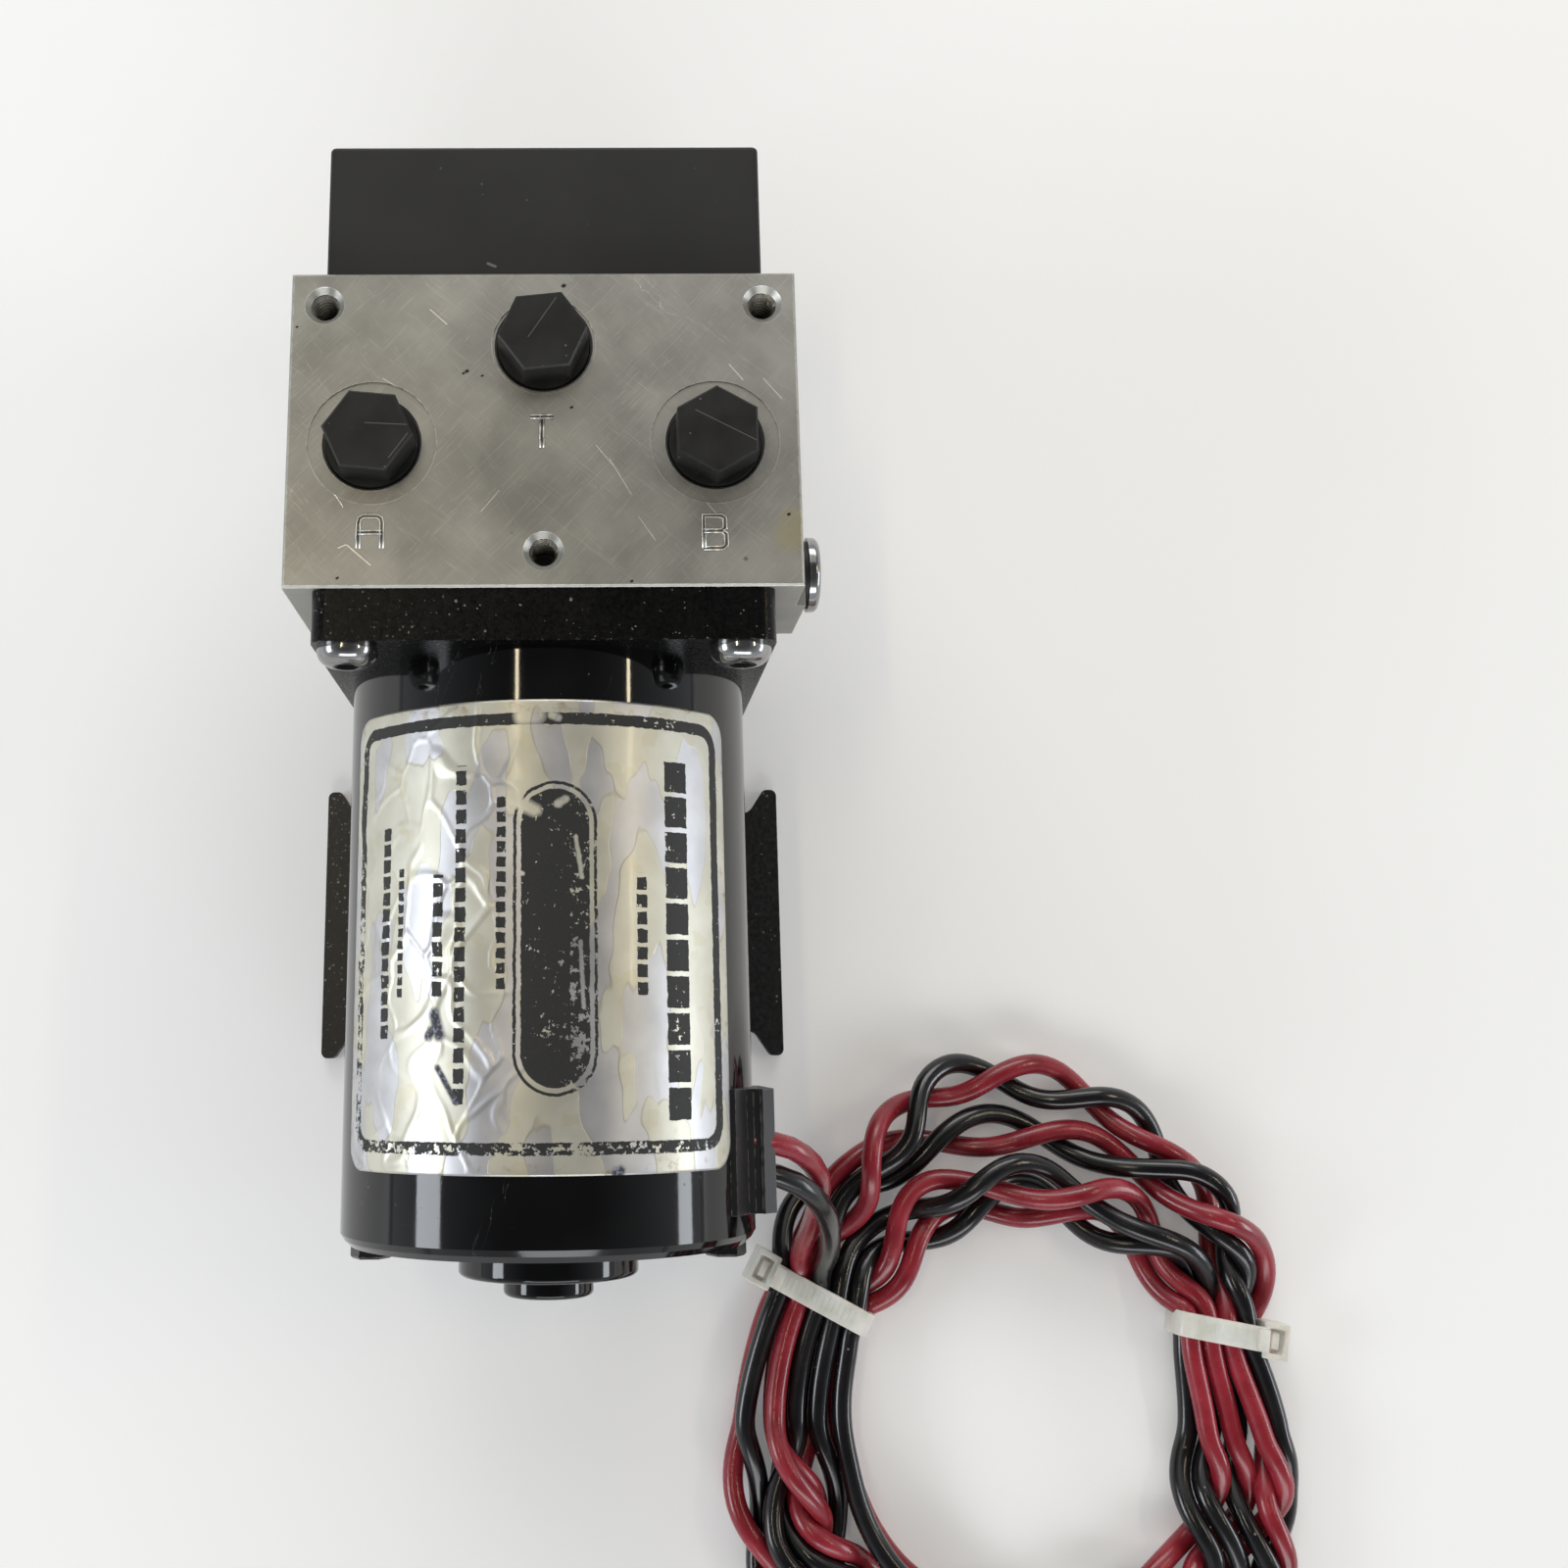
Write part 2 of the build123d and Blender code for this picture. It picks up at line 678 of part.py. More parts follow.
# Manifold block
slab_x = slab_width / 2
block_foot_x = block_foot_width / 2
pad_x = slab_x + side_pad
hole_rear_y = block_end_y - face_hole_edge
hole_front_y = block_face_y + face_hole_front_edge
screw_holes = [
    (sx * (reservoir_width / 2 - reservoir_screw_inset), z)
    for sx in (-1, 1)
    for z in (reservoir_bottom_z + reservoir_screw_inset, reservoir_top_z - reservoir_screw_inset)
]
pump_screw_places = [
    (sx * pump_screw_x, z)
    for sx in (-1, 1)
    for z in (axis_height + pump_screw_rise, axis_height - pump_screw_fall)
]
pump_screw_depth = 10.0
reservoir_screw_depth = 9.0
with BuildPart() as manifold_block:
    with BuildSketch(across(block_end_y)):
        with BuildLine():
            Polyline(
                (-slab_x, port_face_z), (slab_x, port_face_z), (slab_x, slab_bottom_z),
                (block_foot_x, slab_bottom_z), (block_foot_x, block_floor_gap),
                (-block_foot_x, block_floor_gap), (-block_foot_x, slab_bottom_z),
                (-slab_x, slab_bottom_z), close=True,
            )
        make_face()
    extrude(amount=block_length)
    # Raised pad for the side plug
    with BuildSketch(sideways(slab_x)):
        pad_height = slab_thickness - side_pad_drop
        with Locations((block_face_y + side_pad_length / 2, slab_bottom_z + pad_height / 2)):
            Rectangle(side_pad_length, pad_height)
    extrude(amount=side_pad)
    top_edges = manifold_block.faces().sort_by(Axis.Z)[-1].edges()
    chamfer(top_edges, length=0.4)
    # Tapped holes and ports in the port face
    with Locations((0, 0, port_face_z)):
        with Locations((-face_hole_x, hole_rear_y), (face_hole_x, hole_rear_y), (0, hole_front_y)):
            CounterSinkHole(
                face_hole_radius, face_hole_radius + face_hole_chamfer, depth=face_hole_depth,
                counter_sink_angle=90,
            )
        for x, y, spotface in (
            (-port_x, port_ab_y, spotface_radius), (port_x, port_ab_y, spotface_radius),
            (0, port_t_y, tank_spotface_radius),
        ):
            with Locations((x, y)):
                CounterBoreHole(port_radius, spotface, spotface_depth, depth=port_depth)
                CounterSinkHole(
                    port_radius, port_radius + port_chamfer, depth=port_depth, counter_sink_angle=90
                )
        with Locations((-port_x, port_ab_y), (port_x, port_ab_y)):
            Hole(passage_radius, depth=valve_drop)
    # Passages from ports A and B to the lock valve, drilled from the flange side
    with BuildSketch(across(port_ab_y)):
        with Locations((-port_x, valve_z), (port_x, valve_z)):
            Circle(passage_radius)
    extrude(amount=port_ab_y - block_face_y, mode=Mode.SUBTRACT)
    # Galleries from the valve and from port T to the pump side
    with BuildSketch(across(block_end_y)):
        with Locations((-gallery_x, valve_z), (gallery_x, valve_z)):
            Circle(gallery_radius)
    extrude(amount=block_end_y - valve_y, mode=Mode.SUBTRACT)
    with BuildSketch(across(block_end_y)):
        with Locations((0, tank_gallery_z)):
            Circle(gallery_radius)
    extrude(amount=block_end_y - port_t_y, mode=Mode.SUBTRACT)
    # Lock valve bore, blind at the left
    with BuildSketch(sideways(-valve_half_length)):
        with Locations((valve_y, valve_z)):
            Circle(valve_bore)
    extrude(amount=valve_half_length + pad_x, mode=Mode.SUBTRACT)
    # Shaft line: coupling room, seal seat, journal
    with BuildSketch(across(block_face_y)):
        with Locations((0, axis_height)):
            Circle(coupling_bore)
    extrude(amount=-coupling_room, mode=Mode.SUBTRACT)
    with BuildSketch(across(seal_start_y)):
        with Locations((0, axis_height)):
            Circle(seal_radius)
    extrude(amount=-seal_length, mode=Mode.SUBTRACT)
    with BuildSketch(across(block_end_y)):
        with Locations((0, axis_height)):
            Circle(pump_shaft_radius + running_gap)
    extrude(amount=block_length, mode=Mode.SUBTRACT)
    # Screw holes: flange, reservoir, pump and idler pin
    with BuildSketch(across(block_face_y)):
        with Locations(*screw_square):
            Circle(flange_screw_radius)
    extrude(amount=-flange_screw_reach, mode=Mode.SUBTRACT)
    with BuildSketch(across(block_end_y)):
        with Locations(*screw_holes):
            Circle(reservoir_screw_radius)
    extrude(amount=reservoir_screw_depth, mode=Mode.SUBTRACT)
    with BuildSketch(across(block_end_y)):
        with Locations(*pump_screw_places):
            Circle(pump_screw_radius)
        with Locations((0, idler_z)):
            Circle(pump_shaft_radius)
    extrude(amount=pump_screw_depth, mode=Mode.SUBTRACT)


def port_plug(x, y, turn):
    """A moulded port plug: tapered shank, round collar and hexagon head."""
    port_axis = Axis((x, y, 0), (0, 0, 1))
    with BuildPart() as piece:
        with BuildSketch(Plane(origin=(x, y, 0), x_dir=(1, 0, 0), z_dir=(0, -1, 0))):
            with BuildLine():
                Polyline(
                    (0, port_face_z - plug_shank_length), (plug_tip_radius, port_face_z - plug_shank_length),
                    (plug_shank_radius, port_face_z - 2), (plug_shank_radius, port_face_z + plug_collar),
                    (0, port_face_z + plug_collar), close=True,
                )
            make_face()
        revolve(axis=port_axis)
        with BuildSketch(Plane.XY.offset(port_face_z + plug_collar)):
            with Locations((x, y)):
                RegularPolygon(plug_flats / 2, 6, major_radius=False, rotation=turn)
        extrude(amount=plug_hex_height)
        chamfer(piece.faces().sort_by(Axis.Z)[-1].edges(), length=0.35)
    return piece


port_plug_a = port_plug(-port_x, port_ab_y, -5.5)
port_plug_b = port_plug(port_x, port_ab_y, 30)
port_plug_t = port_plug(0, port_t_y, 6)

# Lock valve: pieces along X in the cross bore
valve_axis = Axis((0, valve_y, valve_z), (1, 0, 0))
# Half section of the valve: local x is X, local y is the radius
valve_section = Plane(origin=(0, valve_y, valve_z), x_dir=(1, 0, 0), z_dir=(0, -1, 0))
seat_outer_x = seat_inner_x + seat_length
poppet_end_x = seat_outer_x + poppet_length
nose_depth = 1.2


def mirrored(points, side):
    """The same half outline at the other end of the valve."""
    return [(side * x, r) for x, r in points]


def valve_end(side):
    """Seat and poppet at one end of the lock valve."""
    seat = turned(
        mirrored(
            [
                (seat_inner_x, seat_hole), (seat_outer_x, seat_hole),
                (seat_outer_x, valve_bore), (seat_inner_x, valve_bore),
            ],
            side,
        ),
        valve_section, valve_axis,
    )
    poppet = turned(
        mirrored(
            [
                (seat_outer_x - nose_depth, 0), (seat_outer_x - nose_depth, seat_hole - nose_depth - fit_gap),
                (seat_outer_x + fit_gap, seat_hole), (seat_outer_x + fit_gap + 2, valve_bore - fit_gap),
                (poppet_end_x, valve_bore - fit_gap), (poppet_end_x, 3.4),
                (poppet_end_x - 3, 3.4), (poppet_end_x - 3, 0),
            ],
            side,
        ),
        valve_section, valve_axis,
    )
    return seat, poppet


check_seat_a, check_poppet_a = valve_end(-1)
check_seat_b, check_poppet_b = valve_end(1)

valve_spring_length = valve_half_length - poppet_end_x - 2 * fit_gap
valve_spring_radius = valve_bore - 2 * valve_spring_wire - 0.3
spring_start_x = poppet_end_x + fit_gap + valve_spring_wire
check_spring_a = coil_spring(
    (-spring_start_x, valve_y, valve_z), (-1, 0, 0), valve_spring_radius, valve_spring_wire,
    valve_spring_length - valve_spring_wire, 4,
)
check_spring_b = coil_spring(
    (spring_start_x, valve_y, valve_z), (1, 0, 0), valve_spring_radius, valve_spring_wire,
    valve_spring_length - valve_spring_wire, 4,
)

pin_reach = seat_outer_x - nose_depth - spool_travel - 0.1
shuttle_spool = turned(
    [
        (-pin_reach, 0), (-pin_reach, spool_pin_radius), (-spool_half_length, spool_pin_radius),
        (-spool_half_length, valve_bore - fit_gap), (-1.2, valve_bore - fit_gap), (-1.2, valve_bore - 0.9),
        (1.2, valve_bore - 0.9), (1.2, valve_bore - fit_gap), (spool_half_length, valve_bore - fit_gap),
        (spool_half_length, spool_pin_radius), (pin_reach, spool_pin_radius), (pin_reach, 0),
    ],
    valve_section, valve_axis,
)

# Side plug with its seal ring on the pad
plug_seat_x = pad_x + side_plug_seal_thickness
plug_face_x = plug_seat_x + side_plug_height
valve_front_wall = valve_y - valve_bore - block_face_y
side_plug_seal = ring(pad_x, plug_seat_x, valve_bore, side_plug_seal_radius, valve_section, valve_axis)
with BuildPart() as side_plug:
    with BuildSketch(sideways(valve_half_length)):
        with Locations((valve_y, valve_z)):
            Circle(valve_bore)
    extrude(amount=plug_seat_x - valve_half_length)
    with BuildSketch(sideways(plug_seat_x)):
        with Locations((valve_y, valve_z)):
            Circle(side_plug_radius)
    extrude(amount=side_plug_height)
    fillet(side_plug.faces().sort_by(Axis.X)[-1].edges(), radius=1.2)
    with BuildSketch(sideways(plug_face_x - 4)):
        with Locations((valve_y, valve_z)):
            RegularPolygon(side_plug_socket, 6)
    extrude(amount=4, mode=Mode.SUBTRACT)

# Pressed plugs that close the drilled passages at the flange side
with BuildPart() as passage_plugs:
    with BuildSketch(across(block_face_y + valve_front_wall)):
        with Locations((-port_x, valve_z), (port_x, valve_z)):
            Circle(passage_radius)
    extrude(amount=valve_front_wall - fit_gap)

# Pump gears
pitch_radius = gear_module * gear_teeth / 2
base_radius = pitch_radius * cos(radians(pressure_angle))
tip_radius = pitch_radius + 0.95 * gear_module
root_radius = pitch_radius - 1.2 * gear_module


def involute(angle):
    return tan(angle) - angle


def flank(radius, side):
    """A point of the tooth's flank, the tooth standing on local +X."""
    half_tooth = pi / (2 * gear_teeth) - tooth_thinning / (2 * pitch_radius)
    rolled = involute(radians(pressure_angle)) - involute(acos(base_radius / radius))
    angle = side * (half_tooth + rolled)
    return (radius * cos(angle), radius * sin(angle))


flank_radii = [base_radius + (tip_radius - base_radius) * i / 3 for i in range(4)]
with BuildSketch() as gear_tooth:
    with BuildLine():
        upper = Spline(*[flank(r, 1) for r in flank_radii])
        lower = Spline(*[flank(r, -1) for r in flank_radii])
        Line(upper @ 1, lower @ 1)
        foot = root_radius - 0.6
        upper_foot = (foot * cos(atan2((upper @ 0).Y, (upper @ 0).X)), (upper @ 0).Y * foot / base_radius)
        lower_foot = (upper_foot[0], -upper_foot[1])
        Polyline(upper @ 0, upper_foot, lower_foot, lower @ 0)
    make_face()


def pump_gear(z, turn, bore):
    """A spur gear of the pump, with its axis at height z, turned by an angle in degrees."""
    with BuildPart() as piece:
        with BuildSketch(across(pump_rear_y - running_gap)):
            with Locations((0, z)):
                Circle(root_radius)
                with PolarLocations(0, gear_teeth, start_angle=turn):
                    add(gear_tooth.sketch)
                Circle(bore, mode=Mode.SUBTRACT)
        extrude(amount=gear_width - 2 * running_gap)
    return piece


tooth_pitch = 360 / gear_teeth
drive_gear = pump_gear(axis_height, 0, pump_shaft_radius)
idler_gear = pump_gear(idler_z, tooth_pitch / 2, pump_shaft_radius + running_gap)

idler_pin = ring(
    block_end_y - pump_screw_depth, plate_rear_y - 1.5, 0, pump_shaft_radius,
    Plane(origin=(0, 0, idler_z), x_dir=(0, 1, 0), z_dir=(1, 0, 0)), Axis((0, 0, idler_z), (0, 1, 0)),
)

# Pump body with its two gear bores and side chambers, and the end plate
body_height = pump_body_top + pump_body_bottom
body_mid_z = axis_height + (pump_body_top - pump_body_bottom) / 2
gear_bore = tip_radius + fit_gap
mesh_z = (axis_height + idler_z) / 2
with BuildPart() as pump_body:
    with BuildSketch(across(pump_rear_y)):
        with Locations((0, body_mid_z)):
            RectangleRounded(pump_body_width, body_height, 5)
        with Locations((0, axis_height), (0, idler_z)):
            Circle(gear_bore, mode=Mode.SUBTRACT)
        with Locations((-8.5, mesh_z), (8.5, mesh_z)):
            Circle(4, mode=Mode.SUBTRACT)
        with Locations(*pump_screw_places):
            Circle(pump_screw_radius + fit_gap, mode=Mode.SUBTRACT)
    extrude(amount=gear_width)
    with BuildSketch(across(block_end_y + 6)):
        with Locations((-gallery_x, valve_z), (gallery_x, valve_z)):
            Circle(gallery_radius)
    extrude(amount=6, mode=Mode.SUBTRACT)

with BuildPart() as pump_end_plate:
    with BuildSketch(across(plate_rear_y)):
        with Locations((0, body_mid_z)):
            RectangleRounded(pump_body_width, body_height, 5)
        with Locations(*pump_screw_places):
            Circle(pump_screw_radius + fit_gap, mode=Mode.SUBTRACT)
    extrude(amount=end_plate_thickness)
    with BuildSketch(across(plate_rear_y - 1.5)):
        with Locations((0, axis_height)):
            Circle(pump_shaft_radius + running_gap)
        with Locations((0, idler_z)):
            Circle(pump_shaft_radius)
    extrude(amount=end_plate_thickness, mode=Mode.SUBTRACT)

with BuildPart() as pump_screws:
    with BuildSketch(across(plate_rear_y)):
        with Locations(*pump_screw_places):
            Circle(pump_screw_radius)
    extrude(amount=plate_rear_y - block_end_y + pump_screw_depth)
    with BuildSketch(across(plate_rear_y + pump_screw_head)):
        with Locations(*pump_screw_places):
            Circle(1.7 * pump_screw_radius)
            RegularPolygon(1.9, 6, mode=Mode.SUBTRACT)
    extrude(amount=pump_screw_head - 0.8)
    with BuildSketch(across(plate_rear_y + 0.8)):
        with Locations(*pump_screw_places):
            Circle(1.7 * pump_screw_radius)
    extrude(amount=0.8)

# Intake strainer, a slotted cup on the block's rear face
with BuildPart() as intake_strainer:
    with BuildSketch(across(block_end_y + strainer_length)):
        with Locations((strainer_x, strainer_z)):
            Circle(strainer_radius)
    extrude(amount=strainer_length)
    with BuildSketch(across(block_end_y + strainer_length - strainer_wall)):
        with Locations((strainer_x, strainer_z)):
            Circle(strainer_radius - strainer_wall)
    extrude(amount=strainer_length - strainer_wall, mode=Mode.SUBTRACT)
    for i in range(strainer_slots):
        slot_end_y = block_end_y + strainer_length - 2 * strainer_wall - i * (strainer_slot + strainer_bridge)
        with BuildSketch(across(slot_end_y)):
            with Locations((strainer_x, strainer_z)):
                Rectangle(1.45 * strainer_radius, 4 * strainer_radius)
        extrude(amount=strainer_slot, mode=Mode.SUBTRACT)

# Reservoir cover, its gasket and its screws
with BuildPart() as reservoir:
    with BuildSketch(across(reservoir_end_y)):
        with Locations((0, reservoir_mid_z)):
            Rectangle(reservoir_width, reservoir_height)
    extrude(amount=reservoir_end_y - reservoir_mouth_y)
    fillet(reservoir.edges().filter_by(Axis.Y), radius=reservoir_corner)
    fillet(reservoir.faces().sort_by(Axis.Y)[-1].edges(), radius=reservoir_corner * 0.7)
    with BuildSketch(across(reservoir_end_y - reservoir_wall)):
        with Locations((0, reservoir_mid_z)):
            RectangleRounded(
                reservoir_width - 2 * reservoir_wall, reservoir_height - 2 * reservoir_wall, reservoir_corner
            )
        with Locations(*screw_holes):
            Circle(reservoir_boss, mode=Mode.SUBTRACT)
    extrude(amount=reservoir_length, mode=Mode.SUBTRACT)
    with BuildSketch(across(reservoir_end_y)):
        with Locations(*screw_holes):
            Circle(reservoir_screw_radius + fit_gap)
    extrude(amount=reservoir_length, mode=Mode.SUBTRACT)
    # Countersinks for the screw heads
    with BuildSketch(across(reservoir_end_y)):
        with Locations(*screw_holes):
            Circle(reservoir_head_radius + fit_gap)
    extrude(amount=reservoir_head_sink, mode=Mode.SUBTRACT)
    with BuildSketch(across(reservoir_head_y)):
        with Locations(*screw_holes):
            Circle(reservoir_head_radius + fit_gap)
    extrude(amount=reservoir_head_depth, taper=45, mode=Mode.SUBTRACT)

with BuildPart() as reservoir_gasket:
    with BuildSketch(across(reservoir_mouth_y)):
        with Locations((0, reservoir_mid_z)):
            RectangleRounded(reservoir_width, reservoir_height, reservoir_corner)
            RectangleRounded(
                reservoir_width - 2 * reservoir_wall, reservoir_height - 2 * reservoir_wall,
                reservoir_corner, mode=Mode.SUBTRACT,
            )
        with Locations(*screw_holes):
            Circle(reservoir_boss)
            Circle(reservoir_screw_radius + fit_gap, mode=Mode.SUBTRACT)
    extrude(amount=gasket_thickness)

with BuildPart() as reservoir_screws:
    with BuildSketch(across(reservoir_head_y)):
        with Locations(*screw_holes):
            Circle(reservoir_screw_radius)
    extrude(amount=reservoir_head_y - block_end_y + reservoir_screw_depth)
    # Countersunk heads with cross recesses
    with BuildSketch(across(reservoir_head_y)):
        with Locations(*screw_holes):
            Circle(reservoir_head_radius)
    extrude(amount=reservoir_head_depth, taper=45)
    with BuildSketch(across(reservoir_head_y)):
        with Locations(*screw_holes):
            Rectangle(cross_length, cross_width)
            Rectangle(cross_width, cross_length)
    extrude(amount=cross_depth, mode=Mode.SUBTRACT)

# Leads, from the grommet down to the coil
red_route = [
    (36.5, -43.3, 55.2), (42.0, -43.7, 53.7), (47.0, -45.9, 50.5), (50.9, -50.0, 44.2),
    (51.7, -55.8, 33.4), (51.3, -62.0, 21.6), (50.2, -67.6, 9.6),
]
black_route = [
    (37.0, -48.6, 53.2), (42.5, -49.5, 51.8), (48.4, -52.7, 48.6), (52.1, -57.3, 41.8),
    (54.1, -62.2, 31.4), (55.1, -66.8, 20.4), (54.8, -70.7, 9.6),
]


def corner_radii(route):
    """The largest arc that each corner's two runs allow."""
    radii = []
    for before, corner, after in zip(route, route[1:], route[2:]):
        first = Vector(*corner) - Vector(*before)
        second = Vector(*after) - Vector(*corner)
        turn = radians(first.get_angle(second))
        radii.append(0.45 * min(first.length, second.length) / tan(turn / 2))
    return radii


def lead(route, name):
    radii = corner_radii(route)
    print(name, "radii", [round(r, 1) for r in radii])
    with BuildPart() as piece:
        with BuildLine() as path:
            FilletPolyline(*route, radius=radii)
        with BuildSketch(Plane(origin=path.line @ 0, z_dir=path.line % 0)):
            Circle(lead_diameter / 2)
        sweep()
    section = pi * lead_diameter**2 / 4
    print(name, "volume", round(piece.part.volume), "section x length", round(section * path.wires()[0].length))
    return piece


lead_red = lead(red_route, "lead_red")
lead_black = lead(black_route, "lead_black")

# The coil's outer shape, pinched under each tie
# Each tie: its place, its turn, the side of its head, and the pairs of leads side by side in it
left_tie = ((54.4, -76.8), -28.0, -1, 5)
right_tie = ((135.6, -83.4), -11.0, 1, 4)
tie_centre_z = tie_thickness + loose_gap + tie_core_height / 2
tie_head_length = 1.5 * tie_width
groove_width = tie_width + 2 * loose_gap
groove_length = 1.8 * coil_hole_half_width


def head_offset(pairs):
    """The distance from the tie's middle to the middle of its head."""
    return pairs * lead_diameter / 2 + fit_gap + tie_thickness + tie_head_width * 0.4


with BuildPart() as lead_coil:
    with BuildSketch():
        with Locations(coil_middle):
            Ellipse(coil_half_width, coil_half_length)
        with Locations(coil_hole_middle):
            Ellipse(coil_hole_half_width, coil_hole_half_length, mode=Mode.SUBTRACT)
    extrude(amount=coil_height)
    chamfer(lead_coil.faces().sort_by(Axis.Z)[-1].edges(), length=coil_edge)
    for (x, y), turn, head_side, pairs in (left_tie, right_tie):
        with Locations(Location((x, y, coil_height / 2), (0, 0, turn))):
            Box(groove_length, groove_width, coil_height + 2, mode=Mode.SUBTRACT)
        with Locations(Location((x, y, tie_centre_z), (0, 0, turn))):
            Box(pairs * lead_diameter, groove_width, tie_core_height)
        with Locations(Location((x, y, coil_height / 2), (0, 0, turn))):
            with Locations((head_side * head_offset(pairs), 0, 0)):
                Box(
                    tie_head_width + 2 * loose_gap, tie_head_length + 2 * loose_gap, 2 * coil_height,
                    mode=Mode.SUBTRACT,
                )


def cable_tie(place, turn, head_side, pairs):
    """A closed strap round the pinched coil, with its head at one side."""
    inner_width = pairs * lead_diameter + 2 * fit_gap
    inner_height = tie_core_height + 2 * fit_gap
    along = (cos(radians(turn)), sin(radians(turn)), 0)
    plane = Plane(origin=(*place, tie_centre_z), x_dir=along, z_dir=(along[1], -along[0], 0))
    with BuildPart() as piece:
        with BuildSketch(plane):
            RectangleRounded(inner_width + 2 * tie_thickness, inner_height + 2 * tie_thickness, 1.5)
            Rectangle(inner_width, inner_height, mode=Mode.SUBTRACT)
        extrude(amount=tie_width / 2, both=True)
        with BuildSketch(plane):
            with Locations((head_side * head_offset(pairs), 1.0)):
                RectangleRounded(tie_head_width, tie_head_height, 0.8)
        extrude(amount=tie_head_length / 2, both=True)
    return piece


cable_tie_left = cable_tie(*left_tie)
cable_tie_right = cable_tie(*right_tie)

pieces = {
    "mounting_bracket": mounting_bracket,
    "motor_can": motor_can,
    "drive_end_bell": drive_end_bell,
    "flange_screws": flange_screws,
    "tail_end_bell": tail_end_bell,
    "through_bolts": through_bolts,
    "lead_grommet": lead_grommet,
    "magnet_upper": magnet_upper,
    "magnet_lower": magnet_lower,
    "armature_core": armature_core,
    "armature_winding": armature_winding,
    "commutator": commutator,
    "motor_shaft": motor_shaft,
    "bearing_outer_ring": bearing_outer_ring,
    "bearing_inner_ring": bearing_inner_ring,
    "bearing_balls": bearing_balls,
    "tail_bush": tail_bush,
    "brush_board": brush_board,
    "brush_holders": brush_holders,
    "brushes": brushes,
    "brush_springs": brush_springs,
    "shaft_coupling": shaft_coupling,
    "shaft_seal": shaft_seal,
    "pump_shaft": pump_shaft,
    "manifold_block": manifold_block,
    "port_plug_a": port_plug_a,
    "port_plug_b": port_plug_b,
    "port_plug_t": port_plug_t,
    "check_seat_a": check_seat_a,
    "check_seat_b": check_seat_b,
    "check_poppet_a": check_poppet_a,
    "check_poppet_b": check_poppet_b,
    "check_spring_a": check_spring_a,
    "check_spring_b": check_spring_b,
    "shuttle_spool": shuttle_spool,
    "side_plug": side_plug,
    "side_plug_seal": side_plug_seal,
    "passage_plugs": passage_plugs,
    "drive_gear": drive_gear,
    "idler_gear": idler_gear,
    "idler_pin": idler_pin,
    "pump_body": pump_body,
    "pump_end_plate": pump_end_plate,
    "pump_screws": pump_screws,
    "intake_strainer": intake_strainer,
    "reservoir": reservoir,
    "reservoir_gasket": reservoir_gasket,
    "reservoir_screws": reservoir_screws,
    "lead_red": lead_red,
    "lead_black": lead_black,
    "lead_coil": lead_coil,
    "cable_tie_left": cable_tie_left,
    "cable_tie_right": cable_tie_right,
}
for name, piece in pieces.items():
    piece.part.label = name
    export_step(piece.part, f"parts/{name}.step")
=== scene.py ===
import bpy
from math import cos, pi, radians, sin, sqrt
from mathutils import Matrix, Vector, kdtree, noise


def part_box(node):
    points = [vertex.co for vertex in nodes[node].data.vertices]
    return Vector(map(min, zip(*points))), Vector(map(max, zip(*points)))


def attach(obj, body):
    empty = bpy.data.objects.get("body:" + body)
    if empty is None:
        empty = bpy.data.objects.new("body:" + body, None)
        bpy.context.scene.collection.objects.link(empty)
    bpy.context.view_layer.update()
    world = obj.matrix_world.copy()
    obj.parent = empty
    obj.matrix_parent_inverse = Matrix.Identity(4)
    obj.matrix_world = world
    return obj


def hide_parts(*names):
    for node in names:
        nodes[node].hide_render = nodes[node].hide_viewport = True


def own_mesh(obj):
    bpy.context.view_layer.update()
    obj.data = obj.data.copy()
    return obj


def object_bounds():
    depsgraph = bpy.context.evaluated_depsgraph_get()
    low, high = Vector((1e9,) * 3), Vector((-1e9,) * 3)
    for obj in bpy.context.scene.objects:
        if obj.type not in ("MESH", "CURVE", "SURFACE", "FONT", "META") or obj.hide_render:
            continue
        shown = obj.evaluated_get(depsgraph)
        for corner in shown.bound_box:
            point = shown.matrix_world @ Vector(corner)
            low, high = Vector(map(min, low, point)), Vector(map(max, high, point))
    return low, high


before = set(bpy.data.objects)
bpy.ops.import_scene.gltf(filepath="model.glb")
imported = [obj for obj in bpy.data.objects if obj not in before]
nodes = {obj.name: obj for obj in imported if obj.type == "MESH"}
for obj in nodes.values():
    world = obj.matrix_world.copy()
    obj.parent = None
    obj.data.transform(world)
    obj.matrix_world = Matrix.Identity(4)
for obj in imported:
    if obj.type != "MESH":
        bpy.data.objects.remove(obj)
cad_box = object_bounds()
MM = 0.001


def box_mm(name):
    """The lowest and the highest corner of a node's box, in millimetres."""
    return [Vector(corner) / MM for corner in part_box(name)]


def new_object(name, data):
    """An object of the data, in the scene."""
    obj = bpy.data.objects.new(name, data)
    bpy.context.scene.collection.objects.link(obj)
    return obj


# Places and sizes of the frame, in millimetres as part.py has them
can_low, can_high = box_mm("motor_can")
can_radius = (can_high.x - can_low.x) / 2
axis_height = (can_high.z + can_low.z) / 2
block_low, block_high = box_mm("manifold_block")
block_face_y = block_low.y
block_end_y = block_high.y
port_face_z = block_high.z
lead_diameter = 4.1
tie_width = 4.8
tie_thickness = 1.2

